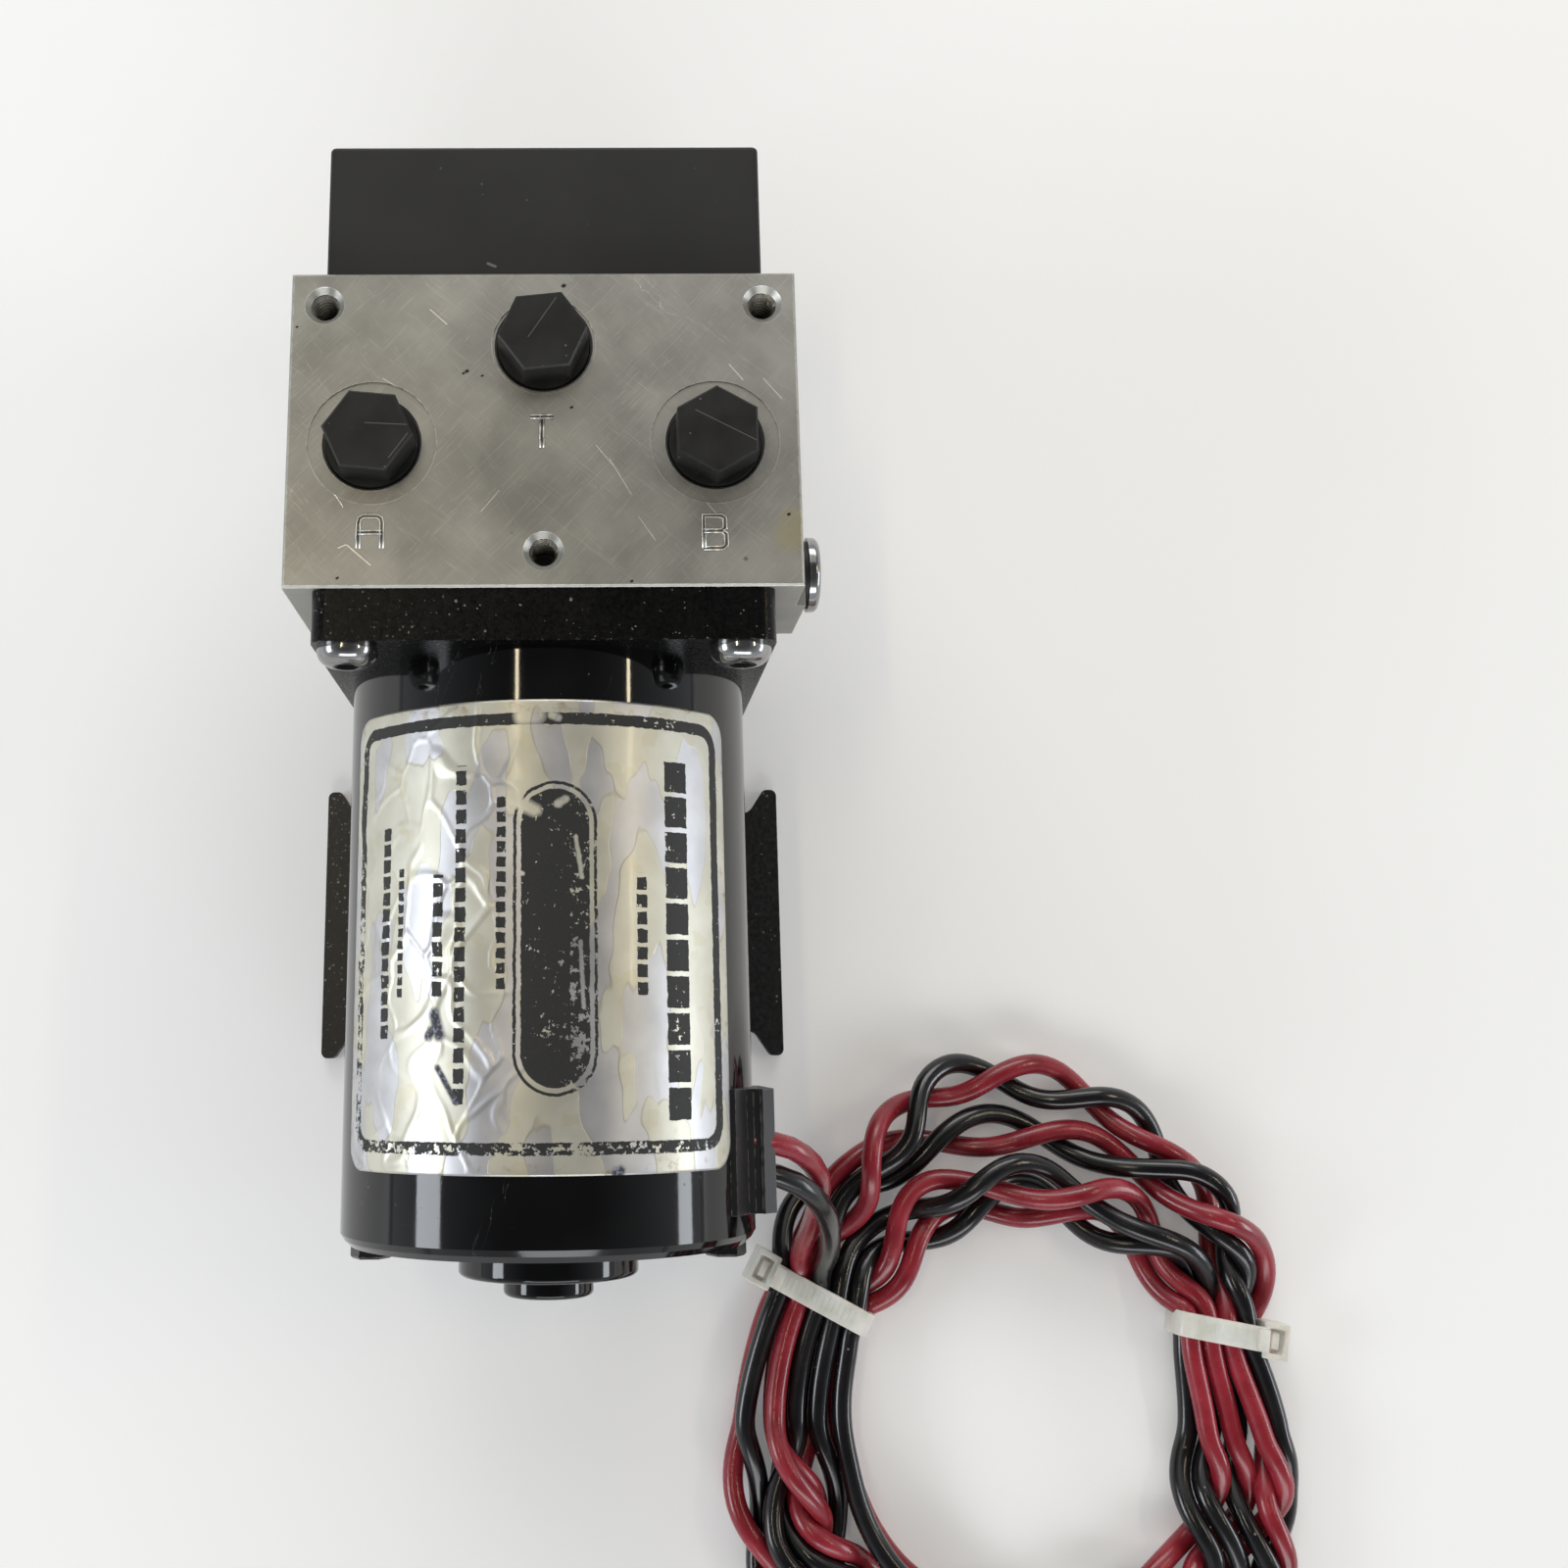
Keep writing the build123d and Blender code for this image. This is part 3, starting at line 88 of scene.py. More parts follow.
# Camera, at the photograph's place
image_size = 1600
focal_pixels = 1743.289
centre_pixel = (611.04, 670.41)
sensor = 36.0
camera_place = Vector((7.4077, -27.3027, 376.0729)) * MM
camera_forward = Vector((0.00777176, 0.22462271, -0.97441482))
camera_up = Vector((0.00489713, 0.97442401, 0.22466389))
camera = new_object("camera", bpy.data.cameras.new("camera"))
camera_right = camera_forward.cross(camera_up)
axes = Matrix((camera_right, camera_up, -camera_forward)).transposed().to_4x4()
camera.matrix_world = Matrix.Translation(camera_place) @ axes
camera.data.sensor_width = sensor
camera.data.lens = focal_pixels / image_size * sensor
camera.data.shift_x = (image_size / 2 - centre_pixel[0]) / image_size
camera.data.shift_y = (centre_pixel[1] - image_size / 2) / image_size
camera.data.clip_start = 0.01
bpy.context.scene.camera = camera
bpy.context.scene.view_settings.view_transform = "Standard"

# Cords: the leads' routes from the grommet, the same points as in part.py, then the coil's turns
red_route = [
    (36.5, -43.3, 55.2), (42.0, -43.7, 53.7), (47.0, -45.9, 50.5), (50.9, -50.0, 44.2),
    (51.7, -55.8, 33.4), (51.3, -62.0, 21.6), (50.2, -67.6, 9.6),
]
black_route = [
    (37.0, -48.6, 53.2), (42.5, -49.5, 51.8), (48.4, -52.7, 48.6), (52.1, -57.3, 41.8),
    (54.1, -62.2, 31.4), (55.1, -66.8, 20.4), (54.8, -70.7, 9.6),
]

# Each tie's middle and the turn of its strap, and the middle height of what it holds
left_tie = (Vector((54.4, -76.8)), -28.0)
right_tie = (Vector((135.6, -83.4)), -11.0)
tie_z = tie_thickness + 0.3 + lead_diameter
floor_z = 4.7

# The twisted pair: the length of a twist, and how far each lead is from the pair's middle, up and sideways
twist_pitch = 39.0
pair_height = 2.27
pair_spread = 3.35
# In a tie the pair lies closer, and spreads over the run beside it; a shorter run has no whole twist
tie_spread = 2.1
spread_run = 20.0
untwisted_run = 40.0
point_step = 2.5


def tie_axes(turn):
    """The directions along a tie's strap and along the bundle that it holds."""
    strap = Vector((cos(radians(turn)), sin(radians(turn))))
    return strap, Vector((strap.y, -strap.x))


def in_tie(tie, along, down=0.0, z=tie_z):
    """A place in a tie: along its strap, and down from it along the bundle."""
    middle, turn = tie
    strap, bundle = tie_axes(turn)
    place = middle + strap * along + bundle * down
    return (place.x, place.y, z)


def turn_stations(left, left_z, bottom, right, over):
    """One turn of the coil: down the left bundle, round the bottom, up the right and over the top.

    left and right are the pair's place across a tie and its twist there. bottom is the turn's x at the left,
    its lowest y, its x at the right and a lift there. A station is a place and, in a tie, the twist there.
    """
    left_x, bottom_y, right_x, lift = bottom
    return [
        (in_tie(left_tie, left[0], 0, left_z), left[1]),
        ((left_x, -101.0, (left_z + floor_z) / 2), left[1]),
        ((left_x + 5.0, -128.0, floor_z), None),
        ((left_x + 20.0, bottom_y + 9.0, floor_z), None),
        ((93.0, bottom_y, floor_z), None),
        ((right_x - 17.0, bottom_y + 11.0, floor_z + lift), None),
        ((right_x - 2.5, -128.0, floor_z), None),
        ((right_x, -104.0, floor_z), right[1]),
        (in_tie(right_tie, right[0]), right[1]),
        (in_tie(right_tie, right[0], -4.5), None),
    ] + [(place, None) for place in over]


# The four turns; each one's list gives the places that it passes over the top, from right to left
middle_turn = turn_stations(
    (-2.05, 0.0), tie_z + lead_diameter / 2, (47.0, -160.0, 145.4, 0.0), (6.15, -90.0),
    [
        (141.5, -69.0, 6.5), (136.5, -59.5, 12.6), (125.0, -53.0, 8.0), (111.5, -46.6, floor_z),
        (96.0, -43.8, floor_z), (81.0, -46.0, floor_z), (68.0, -51.4, floor_z), (54.5, -57.6, floor_z),
    ],
)
outer_turn = turn_stations(
    (-8.2, -90.0), tie_z, (39.4, -168.4, 140.9, 8.2), (2.05, 90.0),
    [
        (137.2, -68.0, floor_z), (130.5, -53.8, floor_z), (121.0, -42.6, floor_z), (107.0, -35.6, floor_z),
        (91.5, -32.9, floor_z), (78.5, -36.0, 6.0), (67.8, -48.2, 12.6), (61.4, -60.0, 8.0),
    ],
)
upper_turn = turn_stations(
    (-2.05, 0.0), tie_z - lead_diameter / 2, (47.5, -152.0, 136.2, 0.0), (-2.05, 90.0),
    [
        (130.4, -71.5, 7.5), (119.0, -60.0, 10.5), (107.0, -56.4, 12.0), (95.0, -53.6, 12.0),
        (83.0, -55.6, 11.0), (72.4, -59.4, 6.5),
    ],
)
lower_turn = turn_stations(
    (4.1, -90.0), tie_z, (52.0, -143.6, 131.4, 0.0), (-6.15, 90.0),
    [
        (122.5, -68.0, floor_z), (112.0, -62.4, floor_z), (98.0, -57.9, floor_z),
        (84.0, -60.6, floor_z), (73.5, -66.6, floor_z),
    ],
)
tail = [
    (in_tie(left_tie, 8.2), -90.0),
    ((56.6, -101.0, 5.0), -90.0),
    ((61.0, -119.0, floor_z), None),
    ((70.0, -131.0, floor_z), None),
    ((84.0, -138.0, floor_z), None),
]
coil_stations = middle_turn + outer_turn + upper_turn + lower_turn + tail


def smooth_line(places, steps=24):
    """A smooth line through the places in many short steps, and the number of its point at each place."""
    points = [Vector(p) for p in places]
    points = [2 * points[0] - points[1]] + points + [2 * points[-1] - points[-2]]
    line = []
    marks = [0]
    for a, b, c, d in zip(points, points[1:], points[2:], points[3:]):
        start = sqrt((b - a).length)
        middle = start + sqrt((c - b).length)
        end = middle + sqrt((d - c).length)
        for i in range(steps):
            t = start + (middle - start) * i / steps
            ab = a.lerp(b, t / start)
            bc = b.lerp(c, (t - start) / (middle - start))
            cd = c.lerp(d, (t - middle) / (end - middle))
            abc = ab.lerp(bc, t / middle)
            bcd = bc.lerp(cd, (t - start) / (end - start))
            line.append(abc.lerp(bcd, (t - start) / (middle - start)))
        marks.append(len(line))
    line.append(points[-2])
    return line, marks


def run_lengths(line):
    """The distance along the line at each of its points."""
    lengths = [0.0]
    for a, b in zip(line, line[1:]):
        lengths.append(lengths[-1] + (b - a).length)
    return lengths


def known_twists(stations, lengths, marks):
    """The lengths at which the twist is known, and the twist there, with as many whole turns as fit."""
    known = []
    for mark, (_, turn) in zip(marks, stations):
        if turn is None:
            continue
        if known:
            last_length, last_turn = known[-1]
            run = lengths[mark] - last_length
            free = run / twist_pitch * 360 if run >= untwisted_run else 0
            turn += round((last_turn + free - turn) / 360) * 360
        known.append((lengths[mark], turn))
    return known


def pair_points(stations):
    """The two leads' points round the coil, twisted evenly about each other between the ties."""
    line, marks = smooth_line([place for place, _ in stations])
    lengths = run_lengths(line)
    known = known_twists(stations, lengths, marks)
    red, black = [], []
    count = round(lengths[-1] / point_step)
    index = 0
    span = 0
    for i in range(count + 1):
        along = min(lengths[-1] * i / count, lengths[-1] - 0.001)
        while lengths[index + 1] < along:
            index += 1
        while span + 1 < len(known) - 1 and known[span + 1][0] < along:
            span += 1
        share = (along - lengths[index]) / (lengths[index + 1] - lengths[index])
        here = line[index].lerp(line[index + 1], share)
        (start, start_turn), (end, end_turn) = known[span], known[span + 1]
        share = (along - start) / (end - start)
        turn = radians(start_turn + (end_turn - start_turn) * min(share, 1.0))
        near = min(abs(along - length) for length, _ in known)
        if abs(end_turn - start_turn) < 1:
            near = 0
        spread = tie_spread + (pair_spread - tie_spread) * min(near / spread_run, 1.0)
        direction = line[index + 1] - line[index]
        outward = Vector((direction.y, -direction.x, 0)).normalized()
        offset = outward * spread * cos(turn) + Vector((0, 0, pair_height * sin(turn)))
        red.append(here + offset)
        black.append(here - offset)
    return red, black


# Leads that would pass into each other are moved apart, a little in each round; own_run counts the points
# next to one on its own lead, which don't push it
lead_gap = 4.5
parting_rounds = 120
push_share = 0.2
own_run = 5
# How far a tie holds the leads, along the bundle past its strap and to each side
held_past = 1.2
held_reach = 16
lowest_line = lead_diameter / 2 + 0.15
right_limit = cad_box[1][0] / MM - lead_diameter / 2 - 0.1
tail_limit = cad_box[0][1] / MM + lead_diameter / 2 + 0.1


def held_points(points):
    """The numbers of the points that stay: the lead's start, and what the ties hold."""
    held = set(range(len(red_route) + 1))
    for number, point in enumerate(points):
        for middle, turn in (left_tie, right_tie):
            strap, bundle = tie_axes(turn)
            offset = point.xy - middle
            past = abs(offset.dot(bundle)) - tie_width / 2
            if past < held_past and abs(offset.dot(strap)) < held_reach:
                held.add(number)
    return held


def part_leads(leads):
    """The leads' points after the parting."""
    moves = [[Vector() for _ in lead] for lead in leads]
    held = [held_points(lead) for lead in leads]
    owners = [(k, i) for k, lead in enumerate(leads) for i in range(len(lead))]
    for _ in range(parting_rounds):
        places = [[point + move for point, move in zip(*pair)] for pair in zip(leads, moves)]
        tree = kdtree.KDTree(len(owners))
        for number, (k, i) in enumerate(owners):
            tree.insert(places[k][i], number)
        tree.balance()
        for k, i in owners:
            if i in held[k] or i + 1 >= len(places[k]):
                continue
            here = places[k][i]
            run = (places[k][i + 1] - places[k][i - 1]).normalized()
            push = Vector()
            for place, number, distance in tree.find_range(here, lead_gap):
                other, j = owners[number]
                away = here - place
                away -= run * away.dot(run)
                if (other != k or abs(i - j) >= own_run) and away.length > 1e-6:
                    push += away.normalized() * (lead_gap - distance)
            moves[k][i] += push * push_share
        # The moves are smoothed along the lead, and nothing leaves the box or goes below the floor
        for k, lead in enumerate(leads):
            old = [move.copy() for move in moves[k]]
            for i in range(1, len(lead) - 1):
                moves[k][i] = old[i] * 0.5 + (old[i - 1] + old[i + 1]) * 0.25
                if i in held[k]:
                    moves[k][i] = Vector()
                moves[k][i].x = min(moves[k][i].x, right_limit - lead[i].x)
                moves[k][i].y = max(moves[k][i].y, tail_limit - lead[i].y)
                moves[k][i].z = max(moves[k][i].z, lowest_line - lead[i].z)
    return [[point + move for point, move in zip(*pair)] for pair in zip(leads, moves)]


def new_curve(name, dimensions="3D", **settings):
    """A curve object with no splines yet."""
    data = bpy.data.curves.new(name, "CURVE")
    data.dimensions = dimensions
    for setting, value in settings.items():
        setattr(data, setting, value)
    return new_object(name, data)


def add_spline(obj, kind, places, radius=None):
    """A spline through the places if its kind is POLY, and drawn by them if it is NURBS, in millimetres."""
    spline = obj.data.splines.new(kind)
    spline.points.add(len(places) - 1)
    for point, place in zip(spline.points, places):
        point.co = (*(Vector(place) * MM), 1.0)
        if radius:
            point.radius = radius * MM
    if kind == "NURBS":
        spline.order_u = 3
        spline.use_endpoint_u = True
        spline.resolution_u = 2
    return spline


def centreline(obj):
    """The lead's own line, in metres."""
    depth = obj.data.bevel_depth
    obj.data.bevel_depth = 0
    mesh = bpy.data.meshes.new_from_object(obj)
    obj.data.bevel_depth = depth
    line = [v.co.copy() for v in mesh.vertices]
    bpy.data.meshes.remove(mesh)
    return line


lead_points = part_leads([
    [Vector(place) for place in route + coil]
    for route, coil in zip((red_route, black_route), pair_points(coil_stations))
])
leads = {}
for colour, points in zip(("red", "black"), lead_points):
    leads[colour] = new_curve(colour + "_lead", bevel_depth=1.0, bevel_resolution=5, use_fill_caps=True)
    add_spline(leads[colour], "NURBS", points, lead_diameter / 2)
    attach(leads[colour], "housing")
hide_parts("lead_red", "lead_coil")
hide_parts("lead_black", "lead_coil")


class Value:
    """A node's output; arithmetic on it adds the nodes that work it out."""

    def __init__(self, tree, socket):
        self.tree = tree
        self.socket = socket

    def other(self, name):
        """Another output of the same node."""
        return Value(self.tree, self.socket.node.outputs[name])

    def calc(self, operation, *others, clamp=False):
        """One step of arithmetic on numbers."""
        inputs = dict(enumerate((self, *others)))
        return add(self.tree, "ShaderNodeMath", inputs, operation=operation, use_clamp=clamp)

    def vector(self, operation, *others, output=0):
        """One step of arithmetic on vectors."""
        inputs = dict(enumerate((self, *others)))
        return add(self.tree, "ShaderNodeVectorMath", inputs, output, operation=operation)

    def __add__(self, other):
        return self.calc("ADD", other)

    def __sub__(self, other):
        return self.calc("SUBTRACT", other)

    def __rsub__(self, other):
        return add(self.tree, "ShaderNodeMath", {0: other, 1: self}, operation="SUBTRACT")

    def __mul__(self, other):
        return self.calc("MULTIPLY", other)

    def __truediv__(self, other):
        return self.calc("DIVIDE", other)

    def __rtruediv__(self, other):
        return add(self.tree, "ShaderNodeMath", {0: other, 1: self}, operation="DIVIDE")

    def __abs__(self):
        return self.calc("ABSOLUTE")

    def axis(self, name):
        """One number of a vector."""
        return add(self.tree, "ShaderNodeSeparateXYZ", {0: self}, name)

    def rise(self, start, end, low=0.0, high=1.0):
        """What goes from low to high as this goes from start to end, and stays there."""
        inputs = {"Value": self, "From Min": start, "From Max": end, "To Min": low, "To Max": high}
        return add(self.tree, "ShaderNodeMapRange", inputs, clamp=True)

    def mix(self, below, above):
        """One colour over another, as far as this mask lets it."""
        return add(self.tree, "ShaderNodeMix", {0: self, 6: below, 7: above}, 2, data_type="RGBA")

    def cloud(self, size, detail=3.0, roughness=0.5, seed=0.0):
        """Soft noise at this place, whose lumps are about size across."""
        inputs = {"Vector": self, "W": seed, "Scale": 1 / size, "Detail": detail, "Roughness": roughness}
        return add(self.tree, "ShaderNodeTexNoise", inputs, noise_dimensions="4D")

    def stretch(self, angle, scale):
        """This place in lengths of scale along axes turned about Z, for marks that run one way."""
        inputs = {"Vector": self, "Rotation": (0.0, 0.0, radians(angle)), "Scale": scale}
        return add(self.tree, "ShaderNodeMapping", inputs, vector_type="TEXTURE")


def connect(tree, socket, value):
    """An input gets another node's output, a colour, or a number or vector."""
    if isinstance(value, Value):
        tree.links.new(value.socket, socket)
    elif socket.type == "RGBA":
        socket.default_value = (*value[:3], 1)
    else:
        socket.default_value = value


def add(tree, kind, inputs=None, output=0, **settings):
    """A node of a kind with its settings and inputs; what comes back is one of its outputs."""
    node = tree.nodes.new(kind)
    for name, value in settings.items():
        setattr(node, name, value)
    for name, value in (inputs or {}).items():
        connect(tree, node.inputs[name], value)
    return Value(tree, node.outputs[output])


def most(*values):
    """The largest of several masks."""
    total = values[0]
    for value in values[1:]:
        total = total.calc("MAXIMUM", value)
    return total


def group(make, **inputs):
    """A node group around a function of values; each input is given with a value of its kind."""
    tree = bpy.data.node_groups.new(make.__name__, "ShaderNodeTree")
    for name, value in inputs.items():
        kind = "NodeSocketVector" if isinstance(value, tuple) else "NodeSocketFloat"
        tree.interface.new_socket(name=name, in_out="INPUT", socket_type=kind)
    tree.interface.new_socket(name="result", in_out="OUTPUT", socket_type="NodeSocketFloat")
    start = tree.nodes.new("NodeGroupInput")
    end = tree.nodes.new("NodeGroupOutput")
    connect(tree, end.inputs[0], make(**{name: Value(tree, start.outputs[name]) for name in inputs}))
    return tree


# Effects that several finishes share; places and sizes are in millimetres
ORIGIN = (0.0, 0.0, 0.0)


def worn_and_lit_edges(place, width, patchiness):
    """Edges, broken by patches: wear on bare metal, painted highlights on black parts."""
    rounded = add(place.tree, "ShaderNodeBevel", {"Radius": width * MM}, samples=6)
    flat_normal = add(place.tree, "ShaderNodeNewGeometry", output="Normal")
    edge = rounded.vector("DOT_PRODUCT", flat_normal, output="Value").rise(0.995, 0.93)
    patches = place.cloud(1.6, 4.0, 0.6)
    return edge * (patches - (patchiness * 0.4 + 0.3)).rise(-0.04, 0.06)


def fine_scratches(place, fineness, amount):
    """Thin lines in patches, where the place is stretched one way."""
    nearness = abs(place.cloud(1.0, 2.0, 0.5) - 0.5)
    line = (1.0 - nearness / (0.012 / fineness)).rise(0.0, 1.0)
    patch = place.cloud(3.1, 2.0, 0.5, 7.0)
    return line * (patch - (0.75 - amount * 0.4)).rise(0.0, 0.08)


def scattered_specks(place, spacing, size, amount):
    """Specks of many sizes, in a share of the cells."""
    cells = add(place.tree, "ShaderNodeTexVoronoi", {
        "Vector": place, "Scale": 1.0 / spacing, "Randomness": 1.0,
    }, "Distance")
    chance = add(place.tree, "ShaderNodeSeparateColor", {0: cells.other("Color")}, "Red")
    dot = (cells - size * chance.other("Green")).rise(0.06, -0.02)
    return dot * chance.calc("LESS_THAN", amount)


def line_gap(place, start, end):
    """How far the place is from a straight line."""
    from_start = place.vector("SUBTRACT", start)
    run = end.vector("SUBTRACT", start)
    along, whole = (run.vector("DOT_PRODUCT", other, output="Value") for other in (from_start, run))
    share = along.calc("DIVIDE", whole, clamp=True)
    foot = add(place.tree, "ShaderNodeVectorMath", {0: run, "Scale": share}, operation="SCALE")
    return from_start.vector("DISTANCE", foot, output="Value")


def panel_gap(place, middle, half_size, corner):
    """How far the place is outside a panel with round corners; inside it this is below zero."""
    offset = place.vector("SUBTRACT", middle).vector("ABSOLUTE")
    corners = add(place.tree, "ShaderNodeCombineXYZ", {0: corner, 1: corner})
    beyond = offset.vector("SUBTRACT", half_size.vector("SUBTRACT", corners)).vector("MAXIMUM", ORIGIN)
    return beyond.vector("MULTIPLY", (1.0, 1.0, 0.0)).vector("LENGTH", output="Value") - corner


edge_group = group(worn_and_lit_edges, place=ORIGIN, width=0.0, patchiness=0.0)
scratch_group = group(fine_scratches, place=ORIGIN, fineness=0.0, amount=0.0)
speck_group = group(scattered_specks, place=ORIGIN, spacing=0.0, size=0.0, amount=0.0)
line_group = group(line_gap, place=ORIGIN, start=ORIGIN, end=ORIGIN)
panel_group = group(panel_gap, place=ORIGIN, middle=ORIGIN, half_size=ORIGIN, corner=0.0)


class Finish:
    """A material, its shader, and the place on the surface in millimetres."""

    def __init__(self, name, source="Object", **plain):
        self.material = bpy.data.materials.new(name)
        self.material.use_nodes = True
        self.tree = self.material.node_tree
        self.shader = self.tree.nodes["Principled BSDF"]
        coordinates = add(self.tree, "ShaderNodeTexCoord", output=source)
        self.place = coordinates.vector("MULTIPLY", (1 / MM, 1 / MM, 1 / MM))
        self.feed(**plain)

    def feed(self, **inputs):
        """Numbers, colours or nodes' outputs for the shader's inputs."""
        for name, value in inputs.items():
            connect(self.tree, self.shader.inputs[name.replace("_", " ")], value)

    def bump(self, height, depth):
        """Relief: depth is in millimetres for a height from 0 to 1."""
        inputs = {"Height": height, "Distance": depth * MM, "Strength": 1.0}
        self.feed(Normal=add(self.tree, "ShaderNodeBump", inputs))

    def use(self, node_group, place=None, **inputs):
        """A shared effect, at the surface's place or another."""
        inputs["place"] = place or self.place
        return add(self.tree, "ShaderNodeGroup", inputs, node_tree=node_group)

    def cloud(self, *settings):
        return self.place.cloud(*settings)

    def edge_wear_and_highlight(self, width, patchiness):
        return self.use(edge_group, width=width, patchiness=patchiness)

    def specks(self, spacing, size, amount, place=None):
        return self.use(speck_group, place, spacing=spacing, size=size, amount=amount)

    def scratches(self, angle, length, gap, fineness, amount):
        """Scratches that run along the X axis turned by the angle."""
        place = self.place.stretch(angle, (length, gap, gap))
        return self.use(scratch_group, place, fineness=fineness, amount=amount)

    def mark(self, start, end, width, place=None):
        """A single line from start to end."""
        return self.use(line_group, place, start=start, end=end).rise(width, width * 0.4)

    def marks(self, lines, z, place=None):
        """Lines at one height, each given as x and y of both ends and its width."""
        return most(*(
            self.mark((x0, y0, z), (x1, y1, z), width, place) for x0, y0, x1, y1, width in lines
        ))


def metal_finish(name, colour, dull, roughness, grain, depth=0.004, brushed=None):
    """A bare metal: cloudy colour, fine grain or brush lines, edges rubbed bright."""
    finish = Finish(name, Metallic=0.95)
    fine = finish.cloud(grain, 4.0, 0.6)
    if brushed:
        fine = finish.place.stretch(0.0, brushed).cloud(1.0, 3.0, 0.6)
    mixed = fine * 0.45 + finish.cloud(grain * 16, 3.0, 0.5, 3.0) * 0.55
    bright = tuple(min(1.0, c * 1.35 + 0.04) for c in colour)
    finish.feed(
        Base_Color=finish.edge_wear_and_highlight(0.35, 0.35).mix(mixed.rise(0.32, 0.68).mix(dull, colour), bright),
        Roughness=mixed.rise(0.3, 0.7, roughness * 1.25, roughness * 0.8),
    )
    finish.bump(fine, depth)
    return finish


def moulded_finish(name, colour, roughness, grain, depth, worn_and_lit=None):
    """A moulded or painted surface: fine texture, dust specks, and edges painted lighter as highlights where
    a colour for them is given.
    """
    finish = Finish(name)
    clouds = finish.cloud(grain * 30, 3.0, 0.5, 3.0)
    darker = tuple(c * 0.75 for c in colour)
    lighter = tuple(c * 1.45 + 0.003 for c in colour)
    base = clouds.rise(0.35, 0.65).mix(darker, lighter)
    # Edges painted in the given lighter colour, as highlights
    if worn_and_lit:
        base = (finish.edge_wear_and_highlight(0.3, 0.45) * 0.6).mix(base, worn_and_lit)
    finish.feed(
        Base_Color=(finish.specks(2.4, 0.07, 0.12) * 0.5).mix(base, (0.35, 0.34, 0.32)),
        Roughness=clouds.rise(0.3, 0.7, roughness * 0.85, roughness * 1.15),
    )
    finish.bump(finish.cloud(grain, 4.0, 0.6), depth)
    return finish


def dress(finish, *names):
    """The finish on the frame's own pieces."""
    for name in names:
        nodes[name].data.materials.clear()
        nodes[name].data.materials.append(finish.material)


# Port block: satin aluminium with the cutter's arcs, fine scratches and pits
block = Finish("port block aluminium", Metallic=0.8)
clouds = block.cloud(11.0, 4.0, 0.55, 2.0)
tone = clouds * 0.55 + block.cloud(28.0, 2.0, 0.5, 5.0) * 0.45
base = tone.rise(0.36, 0.64).mix((0.27, 0.267, 0.243), (0.42, 0.412, 0.375))
hazy = most(
    block.scratches(47, 22.0, 0.55, 0.7, 0.8), block.scratches(-40, 26.0, 0.7, 0.7, 0.7),
    block.scratches(-55, 12.0, 0.5, 0.9, 0.6),
)
base = (hazy * 0.28).mix(base, (0.66, 0.64, 0.58))
short_marks = [
    (11.9, 76.9, 15.8, 70.1, 0.10), (27.5, 70.7, 32.0, 65.2, 0.10), (40.2, 92.2, 43.4, 88.3, 0.12),
    (-35.0, 60.8, -30.8, 57.1, 0.16), (-29.3, 92.5, -22.6, 88.2, 0.10), (-20.9, 106.0, -17.8, 103.1, 0.13),
    (-36.6, 60.3, -35.2, 60.9, 0.14), (9.5, 79.5, 13.0, 75.0, 0.08), (34.0, 95.0, 36.4, 92.0, 0.16),
    (-38.6, 72.0, -36.0, 68.0, 0.10), (17.0, 66.0, 20.0, 61.5, 0.07), (-8.0, 71.0, -11.2, 67.0, 0.07),
]
bright = most(block.scratches(-48, 7.0, 1.9, 1.6, 0.25) * 0.8, block.marks(short_marks, port_face_z))
base = bright.mix(base, (0.86, 0.85, 0.80))
stain = block.mark((44.0, 62.0, port_face_z), (44.8, 65.0, port_face_z), 3.4) * clouds
base = stain.mix(base, (0.46, 0.40, 0.20))
pits = most(block.specks(6.0, 0.07, 0.16), block.marks([(x, y, x + 0.2, y + 0.1, width) for x, y, width in (
    (-14.1, 93.8, 0.42), (-11.3, 92.9, 0.25), (5.0, 86.7, 0.33), (-36.7, 54.7, 0.3), (15.6, 53.9, 0.3),
    (-45.4, 102.6, 0.25), (43.9, 66.2, 0.35), (3.6, 110.6, 0.5), (-14.7, 93.4, 0.3),
)], port_face_z))
base = pits.mix(base, (0.02, 0.018, 0.015))
deburred = block.edge_wear_and_highlight(0.28, 0.35)
arcs = add(block.tree, "ShaderNodeTexWave", {
    "Vector": block.place.vector("SUBTRACT", (14.0, 20.0, port_face_z)),
    "Scale": 0.32, "Distortion": 1.4, "Detail": 2.0, "Detail Scale": 0.5,
}, "Fac", wave_type="RINGS", rings_direction="SPHERICAL")
fly_cut = arcs * block.mark((2.0, 63.0, port_face_z), (16.0, 66.0, port_face_z), 22.0)
block.feed(
    Base_Color=deburred.mix(base, (0.72, 0.71, 0.67)),
    Roughness=tone * 0.2 + 0.30 - most(bright, deburred) * 0.12,
)
block.bump(fly_cut * 0.16 + block.cloud(0.35, 4.0, 0.65) * 0.55 - most(bright, pits) * 0.8, 0.006)
dress(block, "manifold_block")

# Motor can and tail bell: gloss black paint with faint scuffs, dust and edges painted paler as highlights
gloss = Finish("gloss black paint", Specular_IOR_Level=0.45)
clouds = gloss.cloud(22.0, 3.0, 0.55, 4.0)
base = clouds.rise(0.4, 0.65).mix((0.0022, 0.0022, 0.0025), (0.0045, 0.0046, 0.005))
scuffs = gloss.scratches(68, 14.0, 1.2, 1.3, 0.32) * 0.5
pale = most(scuffs, gloss.specks(2.6, 0.075, 0.2) * 0.7, gloss.edge_wear_and_highlight(0.3, 0.9) * 0.45)
gloss.feed(
    Base_Color=pale.mix(base, (0.16, 0.16, 0.16)),
    Roughness=pale * 0.4 + clouds.rise(0.3, 0.7, 0.04, 0.09),
)
gloss.bump(scuffs * 0.4 + gloss.cloud(1.8, 2.0, 0.5), 0.004)
dress(gloss, "motor_can", "tail_end_bell")
